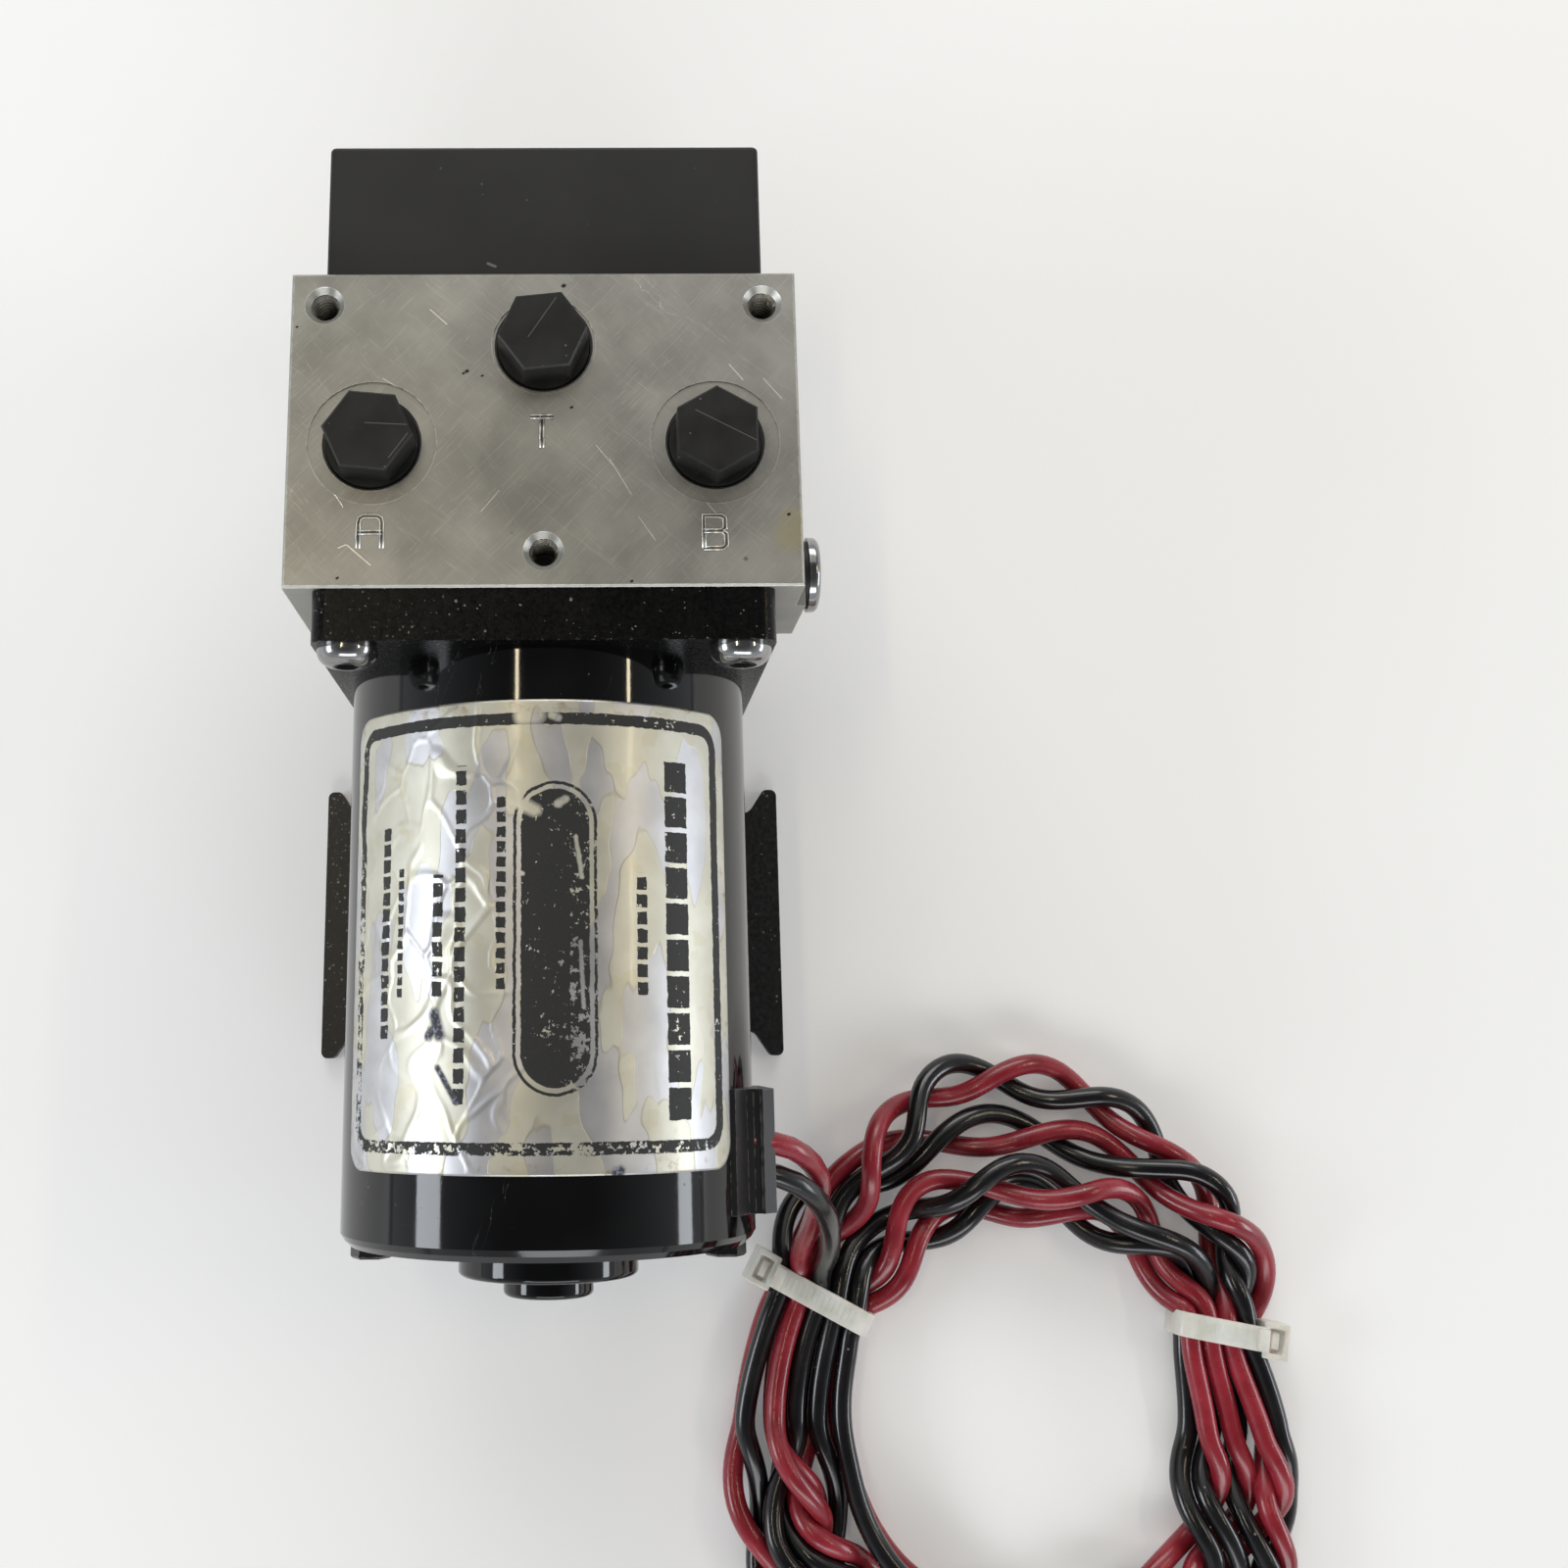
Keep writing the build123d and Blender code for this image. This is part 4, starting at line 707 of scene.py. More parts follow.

# Drive end bell: black casting with pale speckles, most at the left and along the lower edge, and edges
# painted paler as highlights
cast = Finish("speckled black casting", Specular_IOR_Level=0.18)
skin = cast.cloud(0.7, 4.0, 0.6)
clouds = cast.cloud(9.0, 3.0, 0.6, 1.0)
left = cast.place.axis("X").rise(0.0, -38.0, 0.05, 0.42)
low = cast.place.axis("Y").rise(block_face_y - 5.0, block_face_y - 8.5, 0.0, 0.15)
amount = (left + low) * clouds.rise(0.35, 0.62, 0.1, 1.0)
wander = add(cast.tree, "ShaderNodeTexNoise", {"Vector": cast.place, "Scale": 3.0}, "Color")
streaky = cast.place.stretch(0.0, (1.0, 1.0, 2.0)).vector("ADD", wander.vector("MULTIPLY", (0.5, 0.5, 0.5)))
grains = most(cast.specks(0.55, 0.30, amount, streaky), cast.specks(1.7, 0.15, amount * 0.6, streaky))
base = clouds.rise(0.35, 0.65).mix((0.0012, 0.0012, 0.0013), (0.0034, 0.0034, 0.0034))
base = (grains * 0.45).mix(base, (0.40, 0.39, 0.36))
cast.feed(
    # Edges painted paler as highlights
    Base_Color=(cast.edge_wear_and_highlight(0.5, 0.75) * 0.35).mix(base, (0.25, 0.25, 0.24)),
    Roughness=most(skin, grains).rise(0.35, 0.9, 0.20, 0.5),
)
cast.bump(skin, 0.03)
dress(cast, "drive_end_bell")

# Mounting bracket: black sheet with grey specks, partly chips and partly painted glints, thickest on its left
# foot, and edges painted paler as highlights
sheet_black = Finish("worn black sheet")
skin = sheet_black.cloud(0.9, 4.0, 0.65)
left = sheet_black.place.axis("X").rise(-34.0, -44.0, 0.15, 0.8)
# Grey specks, partly chips and partly painted glints, thickest on the left foot
grains = sheet_black.specks(0.8, 0.35, left) * sheet_black.cloud(3.2, 4.0, 0.65, 8.0).rise(0.45, 0.6)
worn_and_lit = most(grains * 0.6, sheet_black.edge_wear_and_highlight(0.4, 0.6) * 0.4)
base = skin.rise(0.4, 0.65).mix((0.004, 0.004, 0.004), (0.014, 0.014, 0.014))
sheet_black.feed(Base_Color=worn_and_lit.mix(base, (0.30, 0.30, 0.28)), Roughness=skin.rise(0.35, 0.65, 0.32, 0.5))
sheet_black.bump(skin, 0.02)
dress(sheet_black, "mounting_bracket")

# Reservoir: charcoal, matt, with one pale rub mark near its foot, pale specks and edges painted paler as
# highlights
charcoal = Finish("charcoal reservoir", Specular_IOR_Level=0.3)
clouds = charcoal.cloud(26.0, 3.0, 0.5, 6.0)
base = clouds.rise(0.35, 0.65).mix((0.010, 0.010, 0.0088), (0.0155, 0.0155, 0.0135))
rub_dust_and_lit_edges = most(
    charcoal.mark((-10.6, 117.2, 79.3), (-9.2, 116.6, 79.3), 0.35) * 0.4,
    charcoal.specks(4.0, 0.03, 0.2) * 0.3, charcoal.edge_wear_and_highlight(0.4, 0.6) * 0.14,
)
charcoal.feed(Base_Color=rub_dust_and_lit_edges.mix(base, (0.36, 0.36, 0.34)), Roughness=clouds.rise(0.3, 0.7, 0.42, 0.56))
charcoal.bump(charcoal.cloud(0.25, 3.0, 0.6), 0.006)
dress(charcoal, "reservoir")

# Port plugs: matt moulded black with a thin scratch across each top, pale specks and edges painted paler as
# highlights
moulded = Finish("moulded plug", Specular_IOR_Level=0.3)
clouds = moulded.cloud(6.0, 3.0, 0.5, 2.0)
plug_top = box_mm("port_plug_t")[1].z
lines = moulded.marks([
    (-31.5, 81.4, -23.6, 81.0, 0.09), (27.2, 83.6, 38.4, 77.6, 0.09), (-2.6, 97.6, 2.4, 105.2, 0.09),
    (-27.2, 74.8, -23.9, 79.4, 0.09),
], plug_top)
pale = most(lines * 0.30, moulded.edge_wear_and_highlight(0.16, 0.75) * 0.16, moulded.specks(2.0, 0.06, 0.15) * 0.5)
base = clouds.rise(0.35, 0.65).mix((0.008, 0.008, 0.0076), (0.014, 0.014, 0.013))
moulded.feed(Base_Color=pale.mix(base, (0.33, 0.33, 0.31)), Roughness=clouds.rise(0.3, 0.7, 0.36, 0.5))
moulded.bump(moulded.cloud(0.3, 3.0, 0.6) - lines, 0.008)
dress(moulded, "port_plug_a", "port_plug_b", "port_plug_t")

# The small and the inner pieces
for finish, names in (
    # The grommet and the bolts have edges painted lighter as highlights
    (moulded_finish("grommet rubber", (0.01, 0.01, 0.011), 0.3, 0.8, 0.01, (0.2, 0.2, 0.2)), "lead_grommet"),
    (moulded_finish("bolt paint", (0.006, 0.006, 0.007), 0.25, 0.8, 0.01, (0.3, 0.3, 0.3)), "through_bolts"),
    (
        moulded_finish("seal rubber", (0.013, 0.013, 0.013), 0.55, 0.4, 0.008),
        "shaft_seal side_plug_seal reservoir_gasket",
    ),
    (moulded_finish("brush board", (0.17, 0.075, 0.028), 0.5, 0.6, 0.01), "brush_board"),
    (moulded_finish("ferrite", (0.022, 0.022, 0.024), 0.6, 0.5, 0.02), "magnet_upper magnet_lower"),
    (moulded_finish("brush carbon", (0.012, 0.012, 0.012), 0.45, 0.3, 0.01), "brushes"),
    (
        metal_finish("zinc plate", (0.40, 0.40, 0.395), (0.25, 0.25, 0.248), 0.14, 0.9),
        "flange_screws side_plug passage_plugs pump_screws reservoir_screws",
    ),
    (
        metal_finish("ground steel", (0.55, 0.55, 0.56), (0.4, 0.4, 0.41), 0.24, 0.5, 0.004, (5.0, 0.3, 5.0)),
        "motor_shaft bearing_outer_ring bearing_inner_ring bearing_balls brush_springs shaft_coupling "
        "pump_shaft check_seat_a check_seat_b check_poppet_a check_poppet_b check_spring_a check_spring_b "
        "shuttle_spool drive_gear idler_gear idler_pin",
    ),
    (
        metal_finish("laminations", (0.24, 0.23, 0.22), (0.15, 0.14, 0.135), 0.5, 0.5, 0.004, (0.3, 3, 0.3)),
        "armature_core",
    ),
    (
        metal_finish("pump iron", (0.28, 0.28, 0.28), (0.18, 0.18, 0.18), 0.42, 0.6, 0.01),
        "pump_body pump_end_plate",
    ),
    (metal_finish("copper", (0.78, 0.36, 0.20), (0.55, 0.22, 0.11), 0.3, 0.6), "armature_winding commutator"),
    (metal_finish("bronze", (0.56, 0.36, 0.16), (0.40, 0.25, 0.11), 0.5, 0.4, 0.01), "tail_bush"),
    (metal_finish("brass", (0.72, 0.55, 0.25), (0.55, 0.4, 0.16), 0.3, 0.5), "brush_holders intake_strainer"),
):
    dress(finish, *names.split())


def insulation(name, dark, light, roughness):
    """A lead's plastic: soft gloss, handling marks and a little dust."""
    finish = Finish(name, Coat_Weight=0.15, Coat_Roughness=0.2)
    clouds = finish.cloud(7.0, 3.0, 0.55, 1.0)
    smears = finish.cloud(2.6, 4.0, 0.7, 9.0).rise(0.60, 0.72)
    dusty = most(finish.specks(2.2, 0.08, 0.22) * 0.6, smears * 0.04)
    finish.feed(
        Base_Color=dusty.mix(clouds.rise(0.35, 0.65).mix(dark, light), (0.42, 0.38, 0.36)),
        Roughness=clouds.rise(0.3, 0.7, roughness * 0.8, roughness * 1.3),
    )
    finish.bump(finish.cloud(1.1, 3.0, 0.6), 0.01)
    return finish


red_plastic = insulation("red lead", (0.20, 0.010, 0.018), (0.31, 0.022, 0.036), 0.25)
black_plastic = insulation("black lead", (0.005, 0.005, 0.006), (0.010, 0.010, 0.011), 0.2)
dress(red_plastic, "lead_red", "lead_coil")
dress(black_plastic, "lead_black")
leads["red"].data.materials.append(red_plastic.material)
leads["black"].data.materials.append(black_plastic.material)

nylon = Finish(
    "nylon tie", Transmission_Weight=0.12, IOR=1.53, Subsurface_Weight=0.15, Subsurface_Scale=0.0008,
)
clouds = nylon.cloud(3.5, 3.0, 0.5)
nylon.feed(
    Base_Color=clouds.rise(0.35, 0.65).mix((0.72, 0.70, 0.62), (0.86, 0.85, 0.80)),
    Roughness=clouds.rise(0.3, 0.7, 0.28, 0.42),
)
nylon.bump(nylon.cloud(0.6, 2.0, 0.5, 3.0), 0.01)
dress(nylon, "cable_tie_left", "cable_tie_right")


# Modelling helpers; lengths are in millimetres
def deselect():
    bpy.ops.object.select_all(action="DESELECT")


def only(obj):
    """The one selected and active object."""
    deselect()
    obj.select_set(True)
    bpy.context.view_layer.objects.active = obj
    return obj


def named(name, material):
    """The object that the last operator made, named and given its finish."""
    obj = bpy.context.object
    obj.name = name
    obj.data.name = name
    obj.data.materials.clear()
    obj.data.materials.append(material)
    return obj


def modify(obj, kind, **settings):
    """A modifier, set and applied."""
    only(obj)
    modifier = obj.modifiers.new(kind.title(), kind)
    for name, value in settings.items():
        setattr(modifier, name, value)
    bpy.ops.object.modifier_apply(modifier=modifier.name)
    return obj


def join(objects, name):
    """Several meshes as one piece."""
    deselect()
    for obj in objects:
        obj.select_set(True)
    bpy.context.view_layer.objects.active = objects[0]
    bpy.ops.object.join()
    objects[0].name = name
    objects[0].data.name = name
    return objects[0]


def move(obj, place):
    """The mesh moved to a place."""
    obj.data.transform(Matrix.Translation(Vector(place) * MM))
    return obj


def copy_of(obj, name, place):
    """A copy with its own mesh, at a place."""
    other = obj.copy()
    other.data = obj.data.copy()
    other.name = name
    other.data.name = name
    bpy.context.scene.collection.objects.link(other)
    return move(other, place)


def settle(obj):
    """The object's place, turn and size go into its mesh."""
    only(obj)
    bpy.ops.object.transform_apply(location=True, rotation=True, scale=True)
    return obj


def box_piece(name, size, material):
    """A box round the origin."""
    deselect()
    bpy.ops.mesh.primitive_cube_add(size=1)
    piece = named(name, material)
    piece.scale = Vector(size) * MM
    return settle(piece)


def pick(obj, kind, test):
    """Edit mode, with only the faces or edges selected that pass the test."""
    only(obj)
    bpy.ops.object.mode_set(mode="EDIT")
    bpy.ops.mesh.select_mode(type=kind)
    bpy.ops.mesh.select_all(action="DESELECT")
    bpy.ops.object.mode_set(mode="OBJECT")
    for item in obj.data.polygons if kind == "FACE" else obj.data.edges:
        item.select = test(item)
    bpy.ops.object.mode_set(mode="EDIT")


def close_up(obj):
    """Points that meet are joined, open ends are closed, and every face looks outward."""
    only(obj)
    bpy.ops.object.mode_set(mode="EDIT")
    bpy.ops.mesh.select_mode(type="VERT")
    bpy.ops.mesh.select_all(action="SELECT")
    bpy.ops.mesh.remove_doubles(threshold=0.001 * MM)
    bpy.ops.mesh.fill_holes(sides=0)
    bpy.ops.mesh.select_all(action="SELECT")
    bpy.ops.mesh.normals_make_consistent(inside=False)
    bpy.ops.object.mode_set(mode="OBJECT")
    return obj


def to_mesh(obj, material):
    """A curve as a closed mesh with its finish."""
    only(obj)
    bpy.ops.object.convert(target="MESH")
    return close_up(named(obj.name, material))


def wound(name, material, sides, wire, start, pitch, turns, steps):
    """A wire wound round Z from its start, both its ends closed."""
    deselect()
    bpy.ops.mesh.primitive_circle_add(
        vertices=sides, radius=wire * MM, fill_type="NOTHING", rotation=(pi / 2, 0, 0),
    )
    piece = move(settle(named(name, material)), start)
    modify(
        piece, "SCREW", axis="Z", screw_offset=pitch * MM, steps=steps, render_steps=steps,
        iterations=turns, use_smooth_shade=False, use_normal_calculate=True,
    )
    return close_up(piece)


def carried(obj):
    """A piece on the housing."""
    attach(obj, "housing")
    return obj


# Label: a foil sheet round the can, puckered, its lacquer lifting in patches and its print worn
label_left, label_right = radians(-64.6), radians(57.4)
label_low, label_high = -47.6, 33.3
label_half = Vector(((label_right - label_left) / 2 * can_radius, (label_high - label_low) / 2))
label_middle = Vector(((label_right + label_left) / 2 * can_radius, (label_high + label_low) / 2))
label_corner = 5.0
label_lift = 0.12
label_thickness = 0.15
flat_rim = 0.04

foil = Finish("foil label", source="UV")
wobble = foil.cloud(1.3, 3.0, 0.6, 2.0)
shift = (wobble - 0.5) * 0.7
ink_place = foil.place.vector("ADD", add(foil.tree, "ShaderNodeCombineXYZ", {0: shift, 1: shift * -1.0}))
across, up = foil.place.axis("X"), foil.place.axis("Y")


def panel_distance(middle, half, corner, place=ink_place):
    return foil.use(panel_group, place, middle=(*middle, 0), half_size=(*half, 0), corner=corner)


def within(value, low, high):
    """1 where the value lies between low and high, with a slightly soft edge."""
    return value.rise(low - 0.06, low + 0.06) * value.rise(high - 0.06, high + 0.06, 1.0, 0.0)


border = within(panel_distance((-2.5, -6.7), (38.5, 37.6), 4.8), -2.1, 0.0)
capsule_shape = panel_distance((2.0, -8.0), (5.9, 25.4), 5.9)
capsule = most(within(capsule_shape, -30.0, 0.0), within(capsule_shape, 0.8, 1.35))
rows = []
for row_x, row_high, row_low, half_width, pitch, fill in (
    (24.9, 24.0, -39.0, 2.5, 6.3, 0.86), (17.5, 3.0, -18.0, 1.0, 3.0, 0.74),
    (-7.4, 16.0, -17.0, 0.8, 2.6, 0.72), (-14.8, 22.0, -36.0, 1.0, 3.4, 0.74),
    (-19.2, 3.0, -18.0, 1.0, 3.4, 0.74), (-27.6, 5.0, -18.0, 0.65, 2.1, 0.7),
    (-31.6, 12.0, -25.0, 1.05, 2.9, 0.8),
):
    field = panel_distance((row_x, (row_high + row_low) / 2), (half_width, (row_high - row_low) / 2), 0.3)
    phase = (ink_place.axis("Y") - row_low) / pitch
    rows.append(within(field, -30.0, 0.0) * phase.calc("FRACT").calc("LESS_THAN", fill))

# The print is broken at the top, dotted at the left, and flecked along the capsule's right side
left_edge = across.rise(-37.5, -39.5, 0.0, 0.17) * up.rise(12.0, -8.0)
bottom_edge = up.rise(-41.5, -43.0, 0.0, 0.12)
capsule_side = within(across, 4.5, 10.0) * 0.07
rubbed = foil.cloud(9.0, 3.0, 0.6, 8.0).rise(0.50, 0.72, 0.0, 0.10)
loss = left_edge + bottom_edge + capsule_side + rubbed
gone = most((foil.cloud(1.1, 4.0, 0.65, 5.0) + loss).rise(0.655, 0.675), foil.marks([
    (-3.6, 30.2, -1.4, 30.4, 2.1), (1.4, 30.4, 2.4, 30.0, 0.9), (-4.4, 15.0, -1.6, 13.6, 1.5),
    (2.4, 14.6, 3.8, 15.6, 0.8), (5.5, 9.0, 6.6, 2.0, 0.5), (6.3, -9.0, 6.8, -20.0, 0.45),
    (-4.4, 3.0, -3.6, 2.6, 0.5),
], 0, ink_place))
ink = most(border, capsule, *rows) * (1.0 - gone)
scrapes = foil.marks([
    (-19.6, -21.0, -18.6, -24.5, 1.5), (-20.8, -24.6, -19.0, -22.8, 1.2), (-18.8, -30.0, -15.2, -35.6, 0.75),
    (12.3, -47.4, 13.0, -46.9, 1.2), (-40.5, -36.0, -40.7, -37.2, 0.5),
], 0, ink_place)

# Lacquer in cream patches with darker rims over bare lavender-grey foil
patch_noise = foil.place.vector("MULTIPLY", (1.7, 0.62, 1.0)).cloud(13.0, 2.0, 0.4, 3.0)
lacquer = patch_noise.rise(0.470, 0.478)
rim = abs(patch_noise - 0.474).rise(0.008, 0.002)
second = foil.cloud(6.0, 2.0, 0.5, 6.0).rise(0.60, 0.607)
tint = foil.cloud(8.0, 3.0, 0.5, 1.0)
bare = tint.rise(0.35, 0.65).mix((0.49, 0.49, 0.505), (0.59, 0.59, 0.605))
cream = tint.rise(0.4, 0.7).mix((0.53, 0.515, 0.435), (0.62, 0.61, 0.53))
base = lacquer.mix(bare, (second * 0.4).mix(cream, (0.52, 0.48, 0.34)))
base = (rim * 0.35).mix(base, (0.36, 0.31, 0.20))
near_edge = panel_distance(tuple(label_middle), tuple(label_half), label_corner, foil.place).rise(-3.2, -0.4)
stains = near_edge * foil.cloud(2.6, 4.0, 0.65, 4.0).rise(0.55, 0.66)
base = (stains * 0.7).mix(base, (0.30, 0.20, 0.10))
base = ink.mix(base, foil.cloud(0.6, 3.0, 0.6).mix((0.004, 0.004, 0.004), (0.018, 0.018, 0.017)))
bluish = foil.cloud(1.0, 3.0, 0.6, 12.0).rise(0.5, 0.6)
covered = most(ink, scrapes)
foil.feed(
    Base_Color=scrapes.mix(base, bluish.mix((0.03, 0.03, 0.035), (0.20, 0.21, 0.32))),
    Metallic=(0.92 - lacquer * 0.25) * (1.0 - covered),
    Roughness=most(tint * 0.16 + 0.34, covered * 0.6),
    Coat_Weight=lacquer * (covered * -0.3 + 0.3),
    Coat_Roughness=0.12,
)
foil.bump(lacquer * 0.6 + wobble * 0.25, 0.035)

ridge_height = 0.23
ridge_width = 0.10
swell_height = 0.05


def pucker(u, v):
    """How far the foil stands up at a place on the label, in millimetres."""
    bend = noise.noise(Vector((u * 0.12, v * 0.12, 3.0))) * 4.0
    bend_too = noise.noise(Vector((u * 0.12, v * 0.12, 9.0))) * 4.0
    distances = noise.voronoi(Vector(((u + bend) / 7.0, (v + bend_too) / 13.5, 0.0)))[0]
    ridge = max(0.0, 1.0 - (distances[1] - distances[0]) / ridge_width)
    where = noise.noise(Vector((u * 0.05, v * 0.05, 21.0)))
    strength = min(1.0, max(0.0, (-3.5 - u) / 6.0)) * min(1.0, max(0.15, 0.8 + where * 1.4))
    strength += 0.25 * max(0.0, where)
    swell = noise.noise(Vector((u * 0.16, v * 0.10, 40.0)))
    return ridge_height * strength * ridge * ridge * (3 - 2 * ridge) + swell_height * (swell + 1.0)


deselect()
bpy.ops.mesh.primitive_grid_add(x_subdivisions=210, y_subdivisions=190, size=2)
label = named("label", foil.material)
flat = []
for vertex in label.data.vertices:
    place = Vector((vertex.co.x * label_half.x, vertex.co.y * label_half.y))
    past = Vector([abs(value) - half + label_corner for value, half in zip(place, label_half)])
    if past.x > 0 and past.y > 0:
        pull = past * (1 - max(past) / past.length)
        place -= Vector([amount if value > 0 else -amount for amount, value in zip(pull, place)])
    u, v = place + label_middle
    flat.append((u, v))
    rim_share = max(abs(place.x) / label_half.x, abs(place.y) / label_half.y)
    height = can_radius + label_lift + pucker(u, v) * min(1.0, (1.0 - rim_share) / flat_rim)
    angle = u / can_radius
    vertex.co = Vector((sin(angle) * height, v, axis_height + cos(angle) * height)) * MM
for loop in label.data.loops:
    label.data.uv_layers[0].data[loop.index].uv = Vector(flat[loop.vertex_index]) * MM
for polygon in label.data.polygons:
    polygon.use_smooth = True
modify(label, "SOLIDIFY", thickness=label_thickness * MM, offset=1.0)
carried(label)

# Engraved port letters: a narrow groove drawn as a raised strip with a burr along each side; its middle is
# painted dark as the groove's shade and its burrs light as highlights
letters = {
    "t": ((-0.3, 82.0), [[(-2.1, 3.0), (2.1, 3.0)], [(0.0, 3.0), (0.0, -3.0)]]),
    "a": ((-31.0, 63.2), [
        [
            (-2.1, -3.0), (-2.1, 1.8), (-1.9, 2.6), (-1.2, 3.0),
            (1.2, 3.0), (1.9, 2.6), (2.1, 1.8), (2.1, -3.0),
        ],
        [(-2.1, 0.0), (2.1, 0.0)],
    ]),
    "b": ((30.7, 63.0), [
        [(-2.0, -3.0), (-2.0, 3.0), (1.2, 3.0), (1.8, 2.6), (1.8, 0.8), (1.2, 0.2), (-2.0, 0.2)],
        [(1.2, 0.2), (2.0, -0.4), (2.0, -2.4), (1.4, -3.0), (-2.0, -3.0)],
    ]),
}
groove_profile = [(-0.55, -0.01), (-0.36, 0.12), (-0.16, 0.03), (0.16, 0.03), (0.36, 0.12), (0.55, -0.01)]
engraved = Finish("engraved groove", Metallic=0.8)
burr_highlight = engraved.place.axis("Z").rise(port_face_z + 0.04, port_face_z + 0.08)
rough_skin = engraved.cloud(0.3, 3.0, 0.6)
# Middle painted dark as the shade of a groove, burrs painted light as highlights
base = burr_highlight.mix((0.12, 0.115, 0.10), (0.88, 0.87, 0.82))
engraved.feed(
    Base_Color=rough_skin.rise(0.55, 0.75).mix(base, (0.30, 0.29, 0.26)),
    Roughness=rough_skin.rise(0.3, 0.7, 0.25, 0.4),
)
engraved.bump(rough_skin, 0.01)

profile = new_curve("groove_profile", "2D")
add_spline(profile, "POLY", [(x, y, 0) for x, y in groove_profile]).use_cyclic_u = True
for letter, ((letter_x, letter_y), strokes) in letters.items():
    groove = new_curve("letter_" + letter, twist_mode="Z_UP", bevel_mode="OBJECT", bevel_object=profile)
    for stroke in strokes:
        add_spline(groove, "POLY", [(letter_x + x, letter_y + y, port_face_z) for x, y in stroke])
    carried(to_mesh(groove, engraved.material))
bpy.data.objects.remove(profile)

# Threads in the three tapped holes of the port face
thread_pitch = 1.27
thread_turns = 7
thread_ridge = 0.42
hole_radius = 2.6
ridge_inset = 0.12
thread_top = port_face_z - 1.2
tapped = metal_finish("tapped thread", (0.62, 0.61, 0.57), (0.30, 0.29, 0.26), 0.28, 0.4)
ridge = wound(
    "thread", tapped.material, 3, thread_ridge, (hole_radius - ridge_inset, 0, 0), -thread_pitch,
    thread_turns, 40,
)
for name, x, y in (
    ("front", 0.0, block_face_y + 6.6),
    ("left", -40.35, block_end_y - 6.3),
    ("right", 40.35, block_end_y - 6.3),
):
    carried(copy_of(ridge, "thread_" + name + "_ridge", (x, y, thread_top)))
bpy.data.objects.remove(ridge)

# The lock valve's springs, which the opening poppets press together
spring_wire = 0.6
spring_radius = 4.5
spring_turns = 4
for side, letter in ((-1, "a"), (1, "b")):
    low, high = box_mm("check_spring_" + letter)
    free_length = high.x - low.x
    spring = wound(
        "valve_spring_" + letter, nodes["check_spring_" + letter].data.materials[0], 12, spring_wire,
        (spring_radius, 0, spring_wire), (free_length - 2 * spring_wire) / spring_turns, spring_turns, 32,
    )
    spring.data.transform(Matrix.Rotation(side * pi / 2, 4, "Y"))
    reach = Vector((side * free_length / 2, 0, 0))
    move(spring, (low + high) / 2 - reach)
    carried(spring)
    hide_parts("check_spring_" + letter)
    tuple(((low + high) / 2 + reach) * MM)
    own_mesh(spring)

# Stripped copper strands at the leads' far ends
strand_copper = metal_finish("strand copper", (0.80, 0.38, 0.20), (0.58, 0.24, 0.12), 0.28, 0.5)
strand_count = 7
strand_radius = 0.22
strand_ring = 0.62
strand_points = 10
strand_twist = 0.35
strand_splay = 0.5
bare_length = 7.0
start_inside = 1.0


def strands(name, lead):
    """Strands that go on from the lead's own end, all but one twisted round the first."""
    line = [point / MM for point in centreline(lead)]
    forward = (line[-1] - line[-8]).normalized()
    side = forward.cross(Vector((0, 0, 1))).normalized()
    upward = side.cross(forward)
    obj = new_curve(name, bevel_depth=1.0, bevel_resolution=2, use_fill_caps=True)
    for i in range(strand_count):
        places = []
        for j in range(strand_points):
            along = (bare_length + start_inside) * j / (strand_points - 1) - start_inside
            ring = strand_ring * (1 if i else 0) * (1 + strand_splay * max(0.0, along / bare_length) ** 2)
            angle = i * pi / 3 + along * strand_twist
            places.append(line[-1] + forward * along + (side * cos(angle) + upward * sin(angle)) * ring)
        add_spline(obj, "NURBS", places, strand_radius)
    return carried(to_mesh(obj, strand_copper.material))


for colour, route in (("red", red_route), ("black", black_route)):
    lead = leads[colour]
    bare_end = strands(colour + "_strands", lead)
    run_lengths(centreline(lead))[-1]

# Nylon ties: a ribbed strap round the bundle, its locking head and the cut end
rib_pitch = 1.1
rib_size = (0.50, tie_width - 1.9, 0.10)
plain_strap = 7.0
strap_round = 2.4
tie_play = 0.1
head_size = (5.3, 7.1, 6.9)
head_past_strap = 2.0
head_lift = 1.0
end_size = (2.2, tie_width - 0.6, tie_thickness)
end_past_head = 3.2


def strap_band(name, half_width, half_height):
    """A band: a box without its open ends, its corners rounded, which then gets its thickness."""
    strap = box_piece(name, (2 * half_width, tie_width, 2 * half_height), nylon.material)
    pick(strap, "FACE", lambda face: abs(face.normal.y) > 0.9)
    bpy.ops.mesh.delete(type="ONLY_FACE")
    bpy.ops.object.mode_set(mode="OBJECT")
    corners = [vertex.co.copy() for vertex in strap.data.vertices]

    def runs_across(edge):
        a, b = edge.vertices
        return abs(corners[a].y - corners[b].y) > tie_width * MM * 0.9

    pick(strap, "EDGE", runs_across)
    bpy.ops.mesh.bevel(offset=strap_round * MM, segments=6, affect="EDGES")
    bpy.ops.object.mode_set(mode="OBJECT")
    modify(strap, "SOLIDIFY", thickness=tie_thickness * MM, offset=0.0)
    return modify(strap, "BEVEL", width=0.22 * MM, segments=2, limit_method="ANGLE")


def ladder_ribs(name, span, z):
    """Ribs across the strap, evenly along its top."""
    rib = modify(box_piece(name, rib_size, nylon.material), "BEVEL", width=0.04 * MM, segments=1)
    count = round(span / rib_pitch) + 1
    ribs = [copy_of(rib, name, (-span / 2 + span * i / (count - 1), 0, z)) for i in range(count)]
    bpy.data.objects.remove(rib)
    return ribs


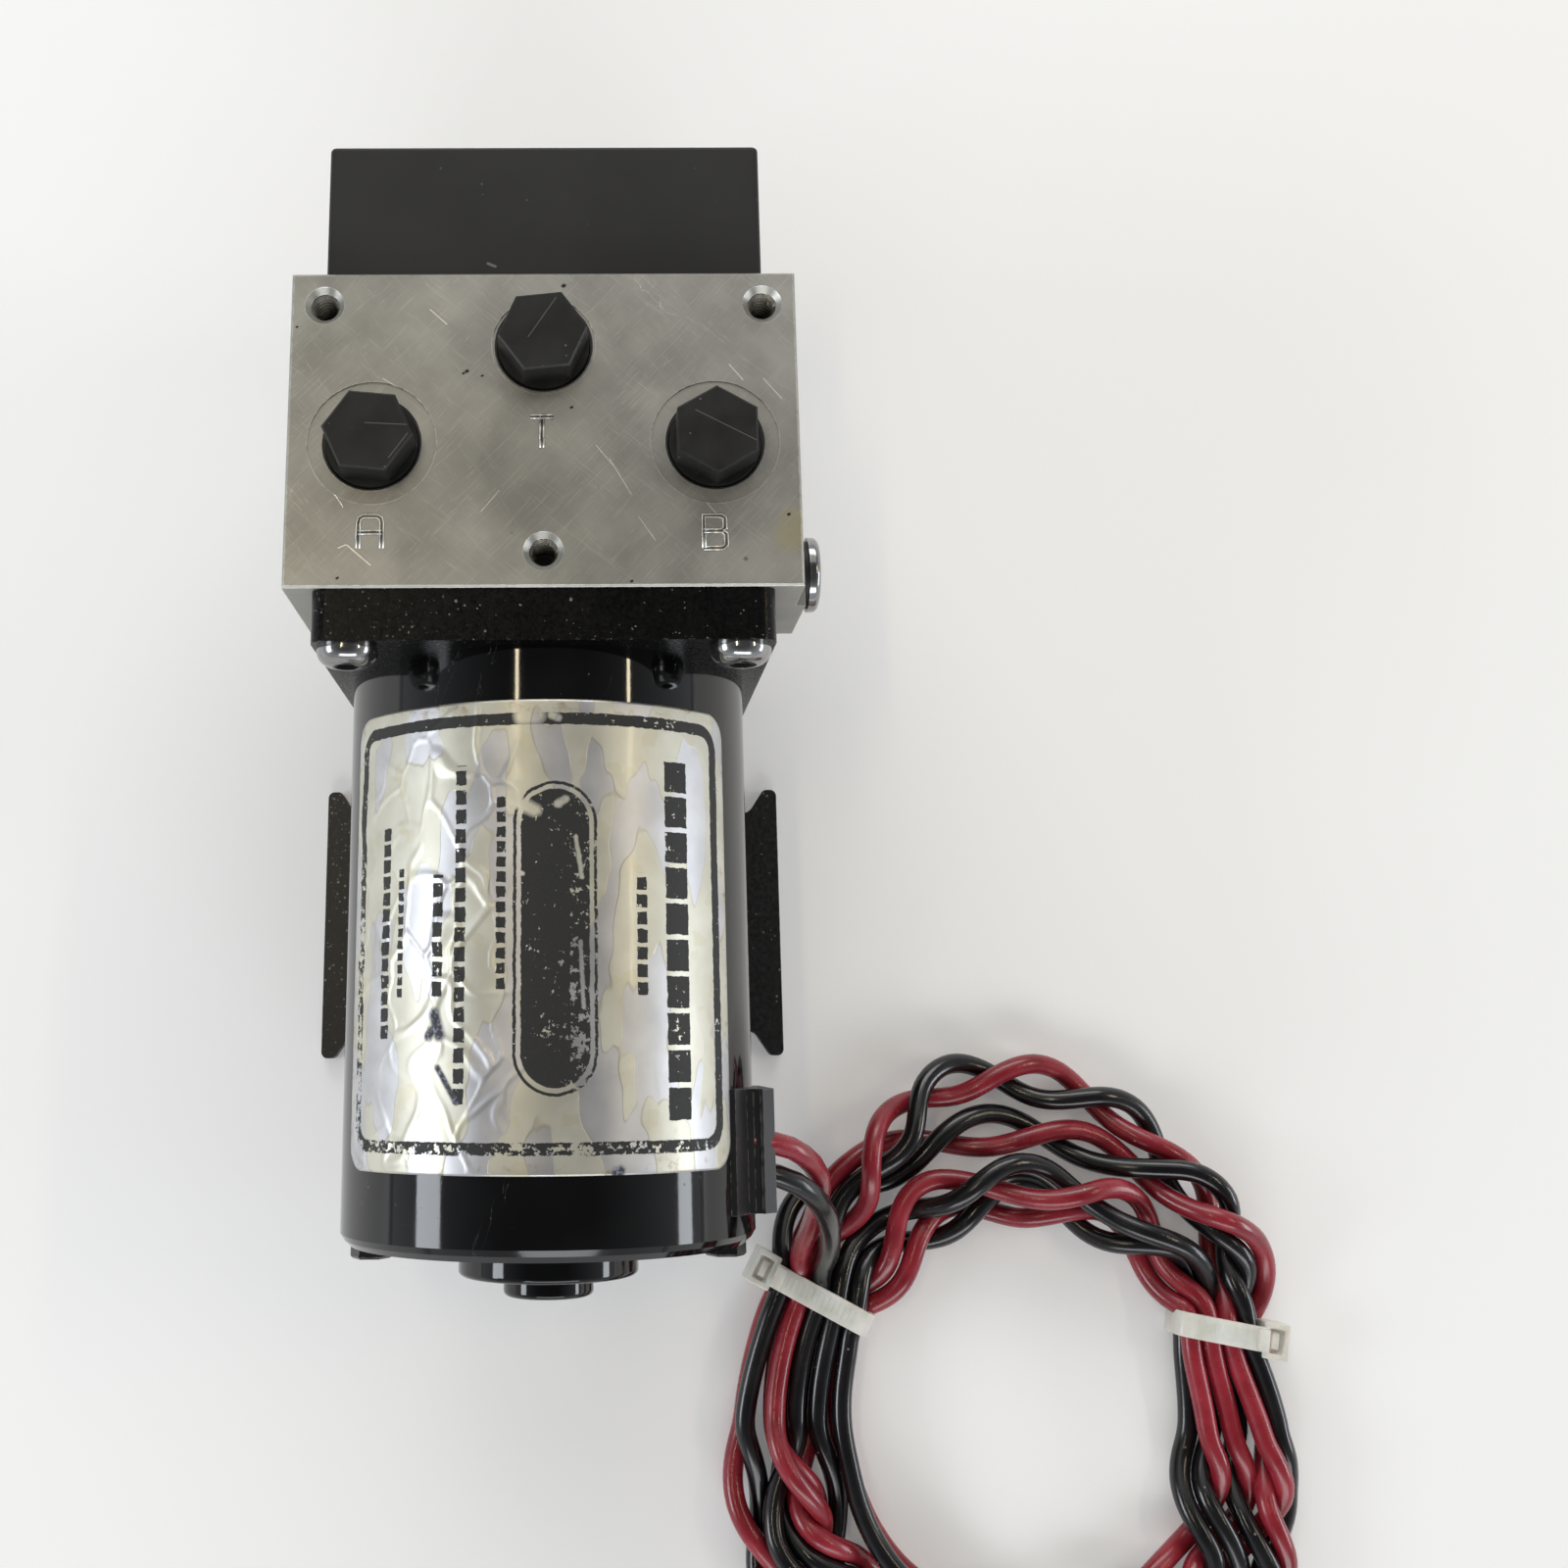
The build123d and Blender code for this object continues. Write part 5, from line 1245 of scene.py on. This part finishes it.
def locking_head(name, x):
    """A block with the strap's slot sunk in its top."""
    head = box_piece(name, head_size, nylon.material)
    pick(head, "FACE", lambda face: face.normal.z > 0.9)
    for rim, step in ((1.15, -1.6), (0.7, 0.9)):
        bpy.ops.mesh.inset(thickness=rim * MM)
        bpy.ops.mesh.extrude_region_move(TRANSFORM_OT_translate={"value": (0, 0, step * MM)})
    bpy.ops.object.mode_set(mode="OBJECT")
    modify(head, "BEVEL", width=0.35 * MM, segments=3, limit_method="ANGLE")
    return move(head, (x, 0, head_lift))


def cable_tie(name, tie, head_side, leads_across, node):
    """A tie round a bundle two leads high, its head at one side, in place of the frame's tie."""
    half_width = (leads_across * lead_diameter + tie_play + tie_thickness) / 2
    half_height = (2 * lead_diameter + tie_play + tie_thickness) / 2
    head_x = head_side * (half_width + head_past_strap)
    end = modify(box_piece(name + "_end", end_size, nylon.material), "BEVEL", width=0.25 * MM, segments=2)
    piece = join([
        strap_band(name, half_width, half_height),
        *ladder_ribs(name + "_rib", 2 * half_width - plain_strap, half_height + tie_thickness / 2),
        locking_head(name + "_head", head_x),
        move(end, (head_x - head_side * end_past_head, 0, half_height + tie_thickness * 0.9)),
    ], name)
    middle, turn = tie
    piece.data.transform(Matrix.Rotation(radians(turn), 4, "Z"))
    move(piece, (*middle, tie_z))
    only(piece)
    bpy.ops.object.shade_smooth_by_angle(angle=radians(35))
    carried(piece)
    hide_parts(node)


cable_tie("tie_left", left_tie, -1, 5, "cable_tie_left")
cable_tie("tie_right", right_tie, 1, 4, "cable_tie_right")

# Floor of pale paper; seen straight or in a reflection it is paler still, and keeps the shadow
deselect()
bpy.ops.mesh.primitive_plane_add(size=6.0)
floor = bpy.context.object
floor.name = "floor"
paper = Finish("floor paper", Roughness=0.9, Specular_IOR_Level=0.1)
clouds = paper.cloud(250.0, 2.0, 0.5)
paper.feed(Base_Color=clouds.rise(0.3, 0.7).mix((0.90, 0.90, 0.895), (0.94, 0.94, 0.935)))
camera_ray = add(paper.tree, "ShaderNodeLightPath", output="Is Camera Ray")
seen = most(camera_ray, camera_ray.other("Is Glossy Ray"), camera_ray.other("Is Transmission Ray"))
both = add(paper.tree, "ShaderNodeMixShader", {
    0: seen * 0.15, 1: Value(paper.tree, paper.shader.outputs[0]),
    2: add(paper.tree, "ShaderNodeEmission", {"Color": (1.0, 1.0, 1.0), "Strength": 1.0}),
})
connect(paper.tree, paper.tree.nodes["Material Output"].inputs["Surface"], both)
floor.data.materials.append(paper.material)

# A room that is pale at the horizon and dark overhead
world = bpy.data.worlds.new("studio")
bpy.context.scene.world = world
world.use_nodes = True
height = add(world.node_tree, "ShaderNodeTexCoord", output="Generated").axis("Z")
background = world.node_tree.nodes["Background"].inputs
room = height.rise(0.0, 0.9).mix((0.70, 0.72, 0.75), (0.08, 0.082, 0.087))
connect(world.node_tree, background["Color"], room)
background["Strength"].default_value = 1.0

aim = Vector((0.03, 0.02, 0.05))
for name, place, width, length, power, colour in (
    ("window_left", (-0.90, -0.12, 0.46), 0.26, 0.48, 3.6, (0.90, 0.95, 1.0)),
    ("window_right", (0.98, -0.12, 0.24), 0.16, 0.50, 2.2, (0.90, 0.95, 1.0)),
    ("lamp_left", (-0.28, 0.15, 1.0), 0.03, 0.34, 0.8, (1.0, 0.86, 0.60)),
    ("lamp_right", (0.73, 0.15, 0.73), 0.03, 0.34, 0.8, (1.0, 0.86, 0.60)),
    ("ceiling", (0.0, 0.80, 1.0), 1.3, 0.6, 1.6, (1.0, 0.98, 0.94)),
    ("back_fill", (0.0, 1.35, 0.75), 1.6, 0.5, 11.0, (1.0, 0.99, 0.97)),
    ("front_fill", (0.1, -1.25, 0.75), 1.4, 0.4, 8.0, (0.97, 0.98, 1.0)),
):
    lamp = bpy.data.lights.new(name, "AREA")
    lamp.shape = "RECTANGLE"
    lamp.size = width
    lamp.size_y = length
    lamp.energy = power
    lamp.color = colour
    towards = (aim - Vector(place)).normalized()
    side = Vector((0, 1, 0)).cross(-towards).normalized()
    turn = Matrix((side, (-towards).cross(side), -towards)).transposed().to_4x4()
    new_object(name, lamp).matrix_world = Matrix.Translation(place) @ turn

bpy.context.view_layer.update()
